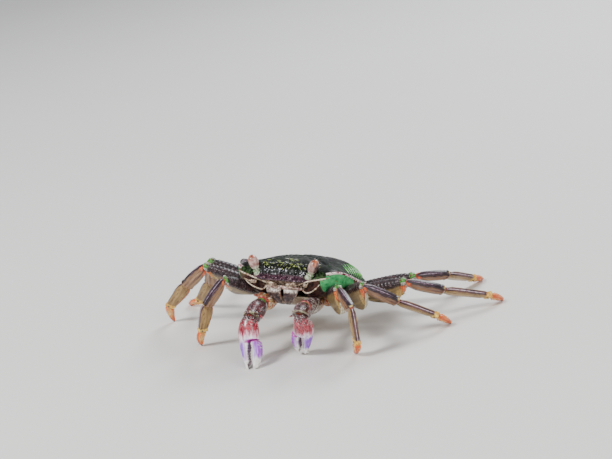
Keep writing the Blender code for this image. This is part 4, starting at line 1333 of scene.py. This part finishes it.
# %% [markdown]
# An eye is an egg on a short stalk, leaning outwards over its hollow. Thousands of facets make
# it look soft and pinkish grey, with a rusty cap. Both are rings round one leaning axis. The
# facets are a bump on a fine cell pattern, since as mesh they would be finer than dust.

# %% Eyes and stalks
EYE_ROWS, EYE_SIDES, EYE_TOP = 64, 72, 88


def eye_finish():
    f = Finish("eye", 0.8, 0.04, 1.45)
    height, outer = f.mark("height"), f.mark("outer")
    f.colour = f.patches(1.4, (140, 100, 92), (194, 158, 148))
    f.lay(f.wavy(height + outer * 0.25, 1.6, 0.5).rise(0.15, 0.65), 0.9, (134, 62, 36), (196, 112, 72))
    f.lay(f.wavy(outer, 1.2, 0.4).rise(0.35, 0.80), 1.0, (58, 40, 44), (104, 76, 76))
    f.lay(height.rise(-0.45, -0.75), 0.6, (178, 168, 146), (232, 224, 206))
    return f.done((1.0, 0.12, 0.16), 1 - f.place.cells(0.16).rise(0.0, 0.7), 0.012)


def stalk_finish():
    f = Finish("eye_stalk", 0.4, 0.15)
    f.colour = f.patches(0.8, (58, 96, 56), (150, 178, 132))
    f.lay(f.place.noise(0.6).rise(0.52, 0.60), (206, 196, 178))
    return f.done((0.8, 0.2, 0.25), f.place.noise(0.3), 0.05)


def stalk_rings(foot, down):
    """A short stalk from the foot of an eye, swollen twice on its way down."""
    first = unit(np.cross(down, [0, 1, 0.2]))
    around, t = full_turn(40), np.linspace(0, 1, 30)
    spokes = np.outer(np.cos(around), first) + np.outer(np.sin(around), np.cross(down, first))
    radius = 0.027 + 0.006 * t + 0.005 * bell(t - 0.16, 0.10) + 0.003 * bell(t - 0.62, 0.14)
    radius *= rounded(np.clip(np.minimum(t, 1 - t) / 0.08, 0, 1), 0.5)
    return foot + down * (0.002 + 0.058 * t)[:, None, None] + spokes * radius[:, None, None]


EYE, STALK = eye_finish(), stalk_finish()
for word, side in SIDES.items():
    rings = ball_rings(EYE_CENTRE, EYE_RADII, side, EYE_LEAN, -EYE_FOOT, EYE_TOP, EYE_ROWS, EYE_SIDES)
    height = np.sin(np.radians(np.linspace(-EYE_FOOT, EYE_TOP, EYE_ROWS)))[:, None] * np.ones((1, EYE_SIDES))
    outer = side * np.cos(full_turn(EYE_SIDES)) * np.sqrt(1 - height**2)
    eye = add_rings(f"{word}_eye", on_body(rings), EYE, 70, height=height, outer=outer)
    keep(eye, "eye", f"eye_{word}")
    foot = rings[0].mean(0)
    stalk = add_rings(f"{word}_eye_stalk", on_body(stalk_rings(foot, unit(foot - rings[8].mean(0)))), STALK)
    keep(stalk, "mouth_shell", f"eyestalk_{word}")
print("eyes:", triangles(eye), "triangles each")

# %% [markdown]
# The long feelers of this crab are short whips beside the mouth, on two stout joints. Between
# them a smaller pair, the antennules, lies folded under the front edge. All four are round
# rods whose thickness steps down from joint to joint and then tapers.

# %% Feelers
FEELER_PATH = ((0.216, -0.474, -0.060), (0.238, -0.500, -0.056), (0.262, -0.532, -0.046), (0.285, -0.556, -0.030))
ANTENNULE_PATH = ((0.120, -0.452, -0.052), (0.092, -0.470, -0.060), (0.060, -0.474, -0.070),
                  (0.078, -0.478, -0.082), (0.112, -0.474, -0.084))


def path_share(path):
    """How far along a path each of its points lies, from 0 to 1."""
    reach = np.concatenate([[0], np.cumsum(np.linalg.norm(np.diff(path, axis=0), axis=1))])
    return reach / reach[-1]


def rod(path, radius, sides=20, detail=48):
    """Rings round a smooth path in shares; radius is a function of the place along it, 0 to 1."""
    path, t = np.array(path, float), np.linspace(0, 1, detail)
    middle = smooth_rows(np.column_stack([path_share(path), path]), t)
    along = np.gradient(middle, axis=0)
    along /= np.linalg.norm(along, axis=1, keepdims=True)
    first = np.cross(along, [0.1, 0.3, 1.0])
    first /= np.linalg.norm(first, axis=1, keepdims=True)
    second, around = np.cross(along, first), full_turn(sides)[None, :, None]
    spokes = first[:, None] * np.cos(around) + second[:, None] * np.sin(around)
    return middle[:, None] + spokes * radius(t)[:, None, None]


def feeler_radius(t):
    stout = 0.0135 + 0.002 * bell(t - 0.16, 0.05) + 0.002 * bell(t - 0.38, 0.05) - 0.003 * bell(t - 0.22, 0.02)
    whip = (0.0085 - 0.0045 * t) * (1 + 0.10 * np.cos(t * 2 * math.pi * 14))
    return (stout * (1 - smoothstep(0.42, 0.46, t)) + whip * smoothstep(0.42, 0.46, t)) * np.minimum(1, 0.4 + t * 20)


def antennule_radius(t):
    return (0.0125 - 0.007 * smoothstep(0.3, 0.9, t)) * np.minimum(1, 0.4 + (1 - t) * 12)


def feeler_finish():
    f = Finish("feelers", 0.4, 0.15)
    f.colour = f.patches(0.5, (92, 52, 50), (214, 192, 160))
    return f.done((0.6, 0.2, 0.25), f.place.noise(0.2), 0.03)


FEELER = feeler_finish()
for word, side in SIDES.items():
    for kind, path, radius, nodes in (("feeler", FEELER_PATH, feeler_radius, [f"antenna_{word}"]),
                                      ("antennule", ANTENNULE_PATH, antennule_radius, [])):
        rings = on_body(rod(np.array(path) * (side, 1, 1), radius))
        keep(add_rings(f"{word}_{kind}", rings, FEELER), "mouth_shell", *nodes)
print("feeler length in shares:", round(math.dist(FEELER_PATH[0], FEELER_PATH[-1]), 3))

# %% [markdown]
# Two long plates, the outer mouth legs, close the mouth like a double door. Each has a lower
# and an upper part with a slanting seam and raised borders; the fringe of bristles along the
# slit is not made here. They are lofted from a table of levels, with their borders and seams as relief.

# %% Mouth plates
MOUTH_PLATE = (  # level, inner and outer edge, front
    (-0.108, 0.012, 0.142, -0.446), (-0.140, 0.014, 0.138, -0.449), (-0.172, 0.012, 0.116, -0.440),
    (-0.202, 0.010, 0.090, -0.424), (-0.228, 0.008, 0.068, -0.400), (-0.246, 0.008, 0.046, -0.370),
)
PLATE_DEPTH = 0.040


def mouth_rings(side):
    rows = np.array(MOUTH_PLATE)
    depth = (rows[:, 0] - rows[0, 0]) / (rows[-1, 0] - rows[0, 0])
    t = eased(90)
    level, inner, outer, front = (v[:, None] for v in smooth_rows(np.column_stack([depth, rows]), t).T)
    turn = full_turn(64)[None, :]
    c, s, t = np.cos(turn), np.sin(turn), t[:, None]
    lip = end_shape(t, 0, 0, 0.05)
    across = (inner + outer) / 2 + (outer - inner) / 2 * (0.75 + 0.25 * lip) * signed_power(c, 0.75)
    face = np.maximum(0, -s) ** 0.5
    seam = bell(t - 0.40 - 0.05 * c, 0.012) + 0.8 * bell(t - 0.50 + 0.06 * c, 0.010)
    height = 0.007 * bell(np.abs(c) - 0.86, 0.09) - 0.010 * seam + 0.005 * bell(t - 0.20, 0.12) * bell(c + 0.1, 0.5)
    height -= 0.006 * bell(c - 0.15, 0.10) * smoothstep(0.5, 0.7, t)
    deep = front + PLATE_DEPTH * (0.5 + 0.5 * signed_power(s, 0.8) * lip) - height * face
    rings = np.stack(np.broadcast_arrays(side * across, deep, level), -1)
    return rings, {"along": t + 0 * c, "edge": np.abs(c) + 0 * t, "seam": seam}


def mouth_finish():
    f = Finish("mouth_plates", 0.35, 0.15)
    noise = f.place.noise
    # The dark base is partly the plates' own colour and partly painted shade, as they lie in the shadow under the
    # front.
    f.colour = f.patches(1.2, (34, 16, 24), (92, 70, 64))
    f.lay(noise(0.8, 4).rise(0.62, 0.68) * 0.6, 0.6, (126, 104, 92), (196, 178, 160))
    rim = (f.mark("edge") + noise(0.7) * 0.16 - 0.04).rise(0.90, 0.99) * noise(1.6).rise(0.30, 0.50)
    f.lay(rim * 0.8, 0.8, (150, 112, 96), (216, 190, 168))
    f.lay(f.wavy(f.mark("along"), 0.9, 0.3).rise(0.30, 0.10), 0.6, (112, 88, 80), (222, 210, 196))
    f.lay(f.mark("seam").rise(0.35, 0.8), (56, 28, 30))
    return f.done((0.8, 0.2, 0.3), noise(0.3, 4), 0.07)


MOUTH = mouth_finish()
for word, side in SIDES.items():
    rings, marks = mouth_rings(side)
    plate = keep(add_rings(f"{word}_mouth_plate", on_body(rings), MOUTH, **marks), "mouth_shell", f"maxilliped_{word}")
print("mouth plate:", triangles(plate), "triangles")

# %% [markdown]
# Under the back shell the chest is a shallow pale bowl of fused plates. Seams run in from
# each leg base to the middle, where the narrow tail of a male lies folded forwards in a
# groove. The bowl is lofted from levels; the seams are grooves in its relief.

# %% Chest
THORAX_RINGS = (  # level, half width, reach forwards and backwards
    (-0.174, 0.285, 0.375, 0.350), (-0.215, 0.275, 0.345, 0.345), (-0.245, 0.240, 0.300, 0.315),
    (-0.266, 0.180, 0.230, 0.275), (-0.277, 0.110, 0.160, 0.215),
)
CHEST_SEAMS = ((-0.17, 0.25), (-0.07, 0.12), (0.03, 0.0), (0.12, -0.15), (0.20, -0.35))  # place and slant


def chest_rings():
    rows = np.column_stack([np.linspace(0, 1, len(THORAX_RINGS)), THORAX_RINGS])
    level, half, front, rear = (v[:, None] for v in smooth_rows(rows, np.linspace(0, 1, 56)).T)
    turn = full_turn(200)[None, :]
    power = 2 / np.where(np.cos(turn) > 0, FRONT_SQUARENESS, REAR_SQUARENESS)
    x = half * signed_power(np.sin(turn), power)
    y = -np.where(np.cos(turn) > 0, front, rear) * signed_power(np.cos(turn), power)
    rings = np.stack([x, y, level + 0 * x], -1)
    under = [rings[-1] * (k, k, 1) - (0, 0, 0.004 * (1 - k)) for k in np.linspace(0.97, 0.06, 28)]
    rings = np.concatenate([rings, under])
    x, y = np.abs(rings[..., 0]), rings[..., 1]
    seams = sum(bell(y - place - slant * (x - 0.1), 0.006) for place, slant in CHEST_SEAMS) * smoothstep(0.06, 0.10, x)
    rings[..., 2] += 0.007 * seams + 0.010 * bell(x, 0.05) * smoothstep(-0.15, -0.05, y)
    return rings, seams


def chest_finish():
    f = Finish("chest", 0.3, 0.2)
    f.colour = f.patches(2.6, (128, 108, 82), (204, 190, 160))
    f.lay(f.place.noise(1.3, 4).rise(0.54, 0.66), (122, 66, 52))
    f.lay(f.mark("seam").rise(0.3, 0.9), (94, 72, 52))
    return f.done((1.4, 0.2, 0.32), f.place.noise(0.4) * 0.6 + f.place.cells(0.9).rise(0.0, 0.25) * 0.4, 0.08)


CHEST = chest_finish()
rings, seams = chest_rings()
chest = keep(add_rings("chest", on_body(rings), CHEST, seam=seams), "belly_shell", "thorax")
print("chest:", triangles(chest), "triangles")

# %% Tail
TAIL_PATH = (  # place backwards and upwards, half width
    (0.410, -0.190, 0.170), (0.418, -0.230, 0.165), (0.385, -0.262, 0.150), (0.320, -0.286, 0.130),
    (0.240, -0.297, 0.115), (0.100, -0.300, 0.085), (-0.030, -0.300, 0.052), (-0.110, -0.298, 0.022),
)
TAIL_SEAMS, TAIL_SIDES = (0.10, 0.22, 0.35, 0.49, 0.64, 0.82), 64


def tail_rings():
    rows, t = np.array(TAIL_PATH), np.linspace(0, 1, 150)
    y, z, half = smooth_rows(np.column_stack([path_share(rows[:, :2]), rows]), t).T
    along = np.stack([np.gradient(y), np.gradient(z)], -1)
    along /= np.linalg.norm(along, axis=1, keepdims=True)
    seams = sum(bell(t - place, 0.006) for place in TAIL_SEAMS)[:, None]
    lip, half = end_shape(t[:, None], 0, 0, 0.03), half[:, None]
    c, s = (way(full_turn(TAIL_SIDES))[None, :] for way in (np.cos, np.sin))
    across = signed_power(c, 0.6) * (half * lip * (1 - 0.05 * seams))
    thick = 0.012 * lip * signed_power(s, 0.7) * (1 - 0.45 * seams) * (1 + 0.22 * bell(c, 0.4))
    rings = np.stack([across, y[:, None] + thick * along[:, 1:], z[:, None] - thick * along[:, :1]], -1)
    return rings, seams * np.ones((1, TAIL_SIDES))


rings, seams = tail_rings()
tail = keep(add_rings("tail", on_body(rings), CHEST, seam=seams), "belly_shell", "abdomen")
print("tail:", triangles(tail), "triangles")

# %% [markdown]
# Spines, beads and bristles are small parts set out in rows: horny spines along the dactyls,
# teeth at the lower end of each merus, one strong spine on each wrist, pale beads on the
# claws and the side edge. Two trees make them all, one standing cones and one setting beads
# on guide points. A guide point says where, which way, how thick and in which tint.

# %% Trees for spines and beads
def spine_tree():
    tree, start, given = new_tree("spines_on_points", Length=1.0, Sides=6, Finish=None)
    cone = start.node("GeometryNodeMeshCone", {}, {"Vertices": given["Sides"], "Side Segments": 3,
                                                   "Radius Top": 0.10, "Radius Bottom": 1.0, "Depth": 1.0})
    height = start.node("ShaderNodeSeparateXYZ", {}, {0: start.node("GeometryNodeInputPosition")}, output=2)
    cone = start.node("GeometryNodeStoreNamedAttribute", {"data_type": "FLOAT", "domain": "POINT"},
                      {"Geometry": cone, "Name": "tip", "Value": height})
    lean, thick = field(start, "lean", "FLOAT_VECTOR"), field(start, "thickness")
    turn = start.node("FunctionNodeAlignRotationToVector", {"axis": "Z"}, {"Vector": lean})
    length = lean.vectors("LENGTH", lean, output=1) * given["Length"]
    size = start.node("ShaderNodeCombineXYZ", {}, {"X": thick, "Y": thick, "Z": length})
    spines = start.node("GeometryNodeInstanceOnPoints", {},
                        {"Points": given["Geometry"], "Instance": cone, "Rotation": turn, "Scale": size})
    close_tree(spines, given["Finish"])
    return tree


def bead_tree():
    tree, start, given = new_tree("beads_on_points", Size=1.0, Finish=None)
    ball = start.node("GeometryNodeMeshIcoSphere", {}, {"Radius": 1.0, "Subdivisions": 2})
    beads = start.node("GeometryNodeInstanceOnPoints", {}, {"Points": given["Geometry"], "Instance": ball,
                                                            "Scale": field(start, "thickness") * given["Size"]})
    close_tree(beads, given["Finish"])
    return tree


SPINES, BEADS = spine_tree(), bead_tree()
print("trees:", SPINES.name, BEADS.name)

# %% Guide points for spines
def on_skin(part, places, degrees):
    """Points on a segment, with its outward and forward directions there. 0 degrees is its outer side."""
    rings, marks = part
    rows = np.abs(marks["along"][:, :1] - np.asarray(places)).argmin(0)
    columns = np.round(np.asarray(degrees) / 360 * rings.shape[1]).astype(int) % rings.shape[1]
    middles = rings.mean(1)
    ahead = np.array([unit(middles[min(r + 2, len(rings) - 1)] - middles[max(r - 2, 0)]) for r in rows])
    out = rings[rows, columns] - middles[rows]
    out = out - (out * ahead).sum(1, keepdims=True) * ahead
    return rings[rows, columns], out / np.linalg.norm(out, axis=1, keepdims=True), ahead


SPINE_ROOT, SPINE_CLEARANCE = 0.12 * MM, 0.1 * MM  # how deep a spine starts, how far it stays off the floor
HORNY, RED, PALE, DARK_HAIR = 0.0, 0.33, 0.66, 1.0
spine_rows = []


def add_spines(part, places, degrees, length, thick, tint, outwards=0.5, forwards=0.85, extra=(0, 0, 0)):
    """Notes spines on a segment. Lengths and thicknesses are millimetres, one number or one for each."""
    places, degrees = np.broadcast_arrays(np.asarray(places, float), np.asarray(degrees, float))
    spots, out, ahead = on_skin(part, places, degrees)
    lean = out * outwards + ahead * forwards + np.array(extra)
    lean *= (np.broadcast_to(length, places.shape) / np.linalg.norm(lean, axis=1))[:, None] * MM
    held = (spots + lean)[:, 2] > SPINE_CLEARANCE
    thick = np.broadcast_to(thick, places.shape) * MM
    spine_rows.append(((spots - out * SPINE_ROOT)[held], lean[held], thick[held], np.full(held.sum(), float(tint))))


for name, parts in leg_parts.items():
    draw = np.random.default_rng(int(name[-1]) + 10 * (name[0] == "l"))
    for row in range(6):
        places = np.linspace(0.12, 0.80, 6) + (0.06 if row % 2 else 0)
        add_spines(parts["dactyl"], places, 60 * row, 0.70 - 0.25 * places, 0.19 - 0.07 * places, HORNY)
    for keel in (155, 205):
        add_spines(parts["merus"], (0.80, 0.85, 0.90, 0.95), keel, (0.45, 0.6, 0.8, 0.9), 0.22, PALE, 0.6, 0.8)
    add_spines(parts["merus"], (0.905,), 8, 1.2, 0.30, RED, 0.35, 0.95)
    add_spines(parts["propodus"], np.linspace(0.20, 0.88, 7), 180, 0.5, 0.13, RED, 0.6, 0.7)
    add_spines(parts["propodus"], (0.965,) * 5, (120, 150, 180, 210, 240), 0.6, 0.14, HORNY, 0.4, 0.9)
    for kind, degrees, count in (("propodus", 165, 30), ("propodus", 20, 16), ("carpus", 170, 12), ("dactyl", 30, 8)):
        places, spread = draw.uniform(0.10, 0.92, count), degrees + draw.normal(0, 12, count)
        add_spines(parts[kind], places, spread, draw.uniform(0.6, 1.3, count), 0.025, DARK_HAIR, 0.7, 0.6)
INNER = {"left": 90, "right": 270}  # degrees round a claw's segment to the side that faces the other claw
WRIST_SPINE = {"left": (2.4, 0.50), "right": (3.6, 0.58)}  # length and thickness
ARM_BRISTLES, DOWNWARDS = 9, (0, 0, -0.6)
for word, side in SIDES.items():
    parts, inner = claw_parts[word], INNER[word]
    draw = np.random.default_rng(5 + side)
    add_spines(parts["carpus"], (0.84,), inner, *WRIST_SPINE[word], RED, 0.75, 0.62, (0, 0, -0.15))
    add_spines(parts["carpus"], (0.66, 0.74), (inner - 20, inner + 24), 0.9, 0.28, RED, 0.8, 0.5)
    places, spread = draw.uniform(0.66, 0.96, ARM_BRISTLES), inner + draw.uniform(-45, 45, ARM_BRISTLES)
    add_spines(parts["merus"], places, spread, draw.uniform(0.9, 1.7, ARM_BRISTLES), 0.15, PALE, 0.75, 0.2, DOWNWARDS)
print("spines noted:", sum(len(row[0]) for row in spine_rows))

# %% Spines
def spine_finish():
    f = Finish("spines", 0.4, 0.12)
    tint, tip = f.mark("tint"), f.mark("tip")
    f.colour = tip.rise(0.35, 0.95).blend(f.patches(0.5, (206, 92, 36), (236, 152, 76)), paint(66, 32, 20))
    red = tip.rise(0.50, 0.95).blend(f.patches(0.5, (88, 20, 34), (158, 48, 56)), paint(232, 160, 164))
    f.lay(tint.rise(0.16, 0.17), red)
    f.lay(tint.rise(0.49, 0.50), 0.5, (196, 178, 150), (244, 234, 214))
    f.lay(tint.rise(0.82, 0.83), (74, 54, 40))
    return f.done((0.5, 0.2, 0.24), f.place.noise(0.15), 0.02)


spots, leans, sizes, tints = zip(*spine_rows)
spine_points = add_guides("spine_points", spots, False, lean=leans, thickness=sizes, tint=tints)
keep(grow("spines", SPINES, spine_points, Length=1.0, Sides=6, Finish=spine_finish()), "leg_tip")

# %% Beads
CLAW_BEADS = {  # word: kind, count, places, middle and spread in degrees, size in millimetres
    word: (("carpus", 30, (0.30, 0.95), 0, 75, 0.11), ("carpus", 10, (0.80, 0.97), INNER[word], 40, 0.15),
           ("palm", 26, (0.02, 0.18), 0, 180, 0.10), ("finger", 20, (0.475, 0.62), 0, 40, 0.16))
    for word in SIDES
}


def edge_beads():
    """Beads along the side edges of the shell: their places, radii and tints."""
    x, y = edge_places(np.linspace(0.78, 1.85, 64))
    level = edge_rule(x, y)[3]
    draw = np.random.default_rng(12)
    for side in SIDES.values():
        rows = np.column_stack([side * x * 1.004, y * 1.004, level + 0.002])
        yield on_body(rows), draw.uniform(0.20, 0.34, len(rows)) * MM, draw.uniform(0, 1, len(rows))


def claw_beads():
    """Beads on the wrist and over the hinge of the moving finger."""
    draw = np.random.default_rng(21)
    for word, rows in CLAW_BEADS.items():
        for kind, count, places, middle, spread, size in rows:
            along, degrees = draw.uniform(*places, count), middle + draw.uniform(-spread, spread, count)
            found, out, _ = on_skin(claw_parts[word][kind], along, degrees)
            yield found + out * 0.02 * MM, draw.uniform(0.5, 1.3, count) * size * MM, np.zeros(count)


def bead_finish():
    f = Finish("beads", 0.5, 0.1)
    f.colour = f.patches(0.5, (220, 204, 204), (250, 244, 240))
    f.lay(f.wavy(f.mark("tint"), 0.8, 0.3).rise(0.60, 0.70), 0.5, (120, 26, 62), (184, 84, 122))
    return f.done((0.4, 0.15, 0.18), f.place.noise(0.12), 0.01)


spots, sizes, tints = zip(*edge_beads(), *claw_beads())
bead_points = add_guides("bead_points", spots, False, thickness=sizes, tint=tints)
keep(grow("beads", BEADS, bead_points, Size=1.0, Finish=bead_finish()), "carapace_shell")

# %% [markdown]
# Above the mouth plates a ridged bar of shell (epistome) closes the gap below the front.
# It is one more round rod, wavy and ridged, lying across the head.

# %% Bar above the mouth
def bar_finish():
    f = Finish("mouth_bar", 0.35, 0.15)
    f.colour = f.patches(0.9, (104, 60, 62), (206, 172, 156))
    f.lay(f.place.noise(0.6).rise(0.56, 0.64), (236, 220, 206))
    return f.done((0.7, 0.2, 0.3), f.place.noise(0.3), 0.06)


def bar_radius(t):
    return 0.016 * np.minimum(1, 0.3 + 8 * np.minimum(t, 1 - t)) * (1 + 0.10 * np.cos(t * 40))


x = np.linspace(-0.168, 0.168, 15)
bar_path = np.column_stack([x, -0.428 + 0.9 * x**2, -0.100 + 0.004 * np.cos(x * 60)])
bar = keep(add_rings("mouth_bar", on_body(rod(bar_path, bar_radius, 24, 90)), bar_finish()), "mouth_shell")
print("bar above the mouth:", triangles(bar), "triangles")

# %% [markdown]
# Last, each piece is attached to the root body, and the plates of the solid model that it
# stands for are hidden.

# %% Attaching the pieces
for obj, slot, nodes in pieces.values():
    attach(obj, "root")
    if nodes:
        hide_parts(*nodes)
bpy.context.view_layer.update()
print("pieces:", len(pieces), "triangles in all:", sum(triangles(obj) for obj, _, _ in pieces.values()))
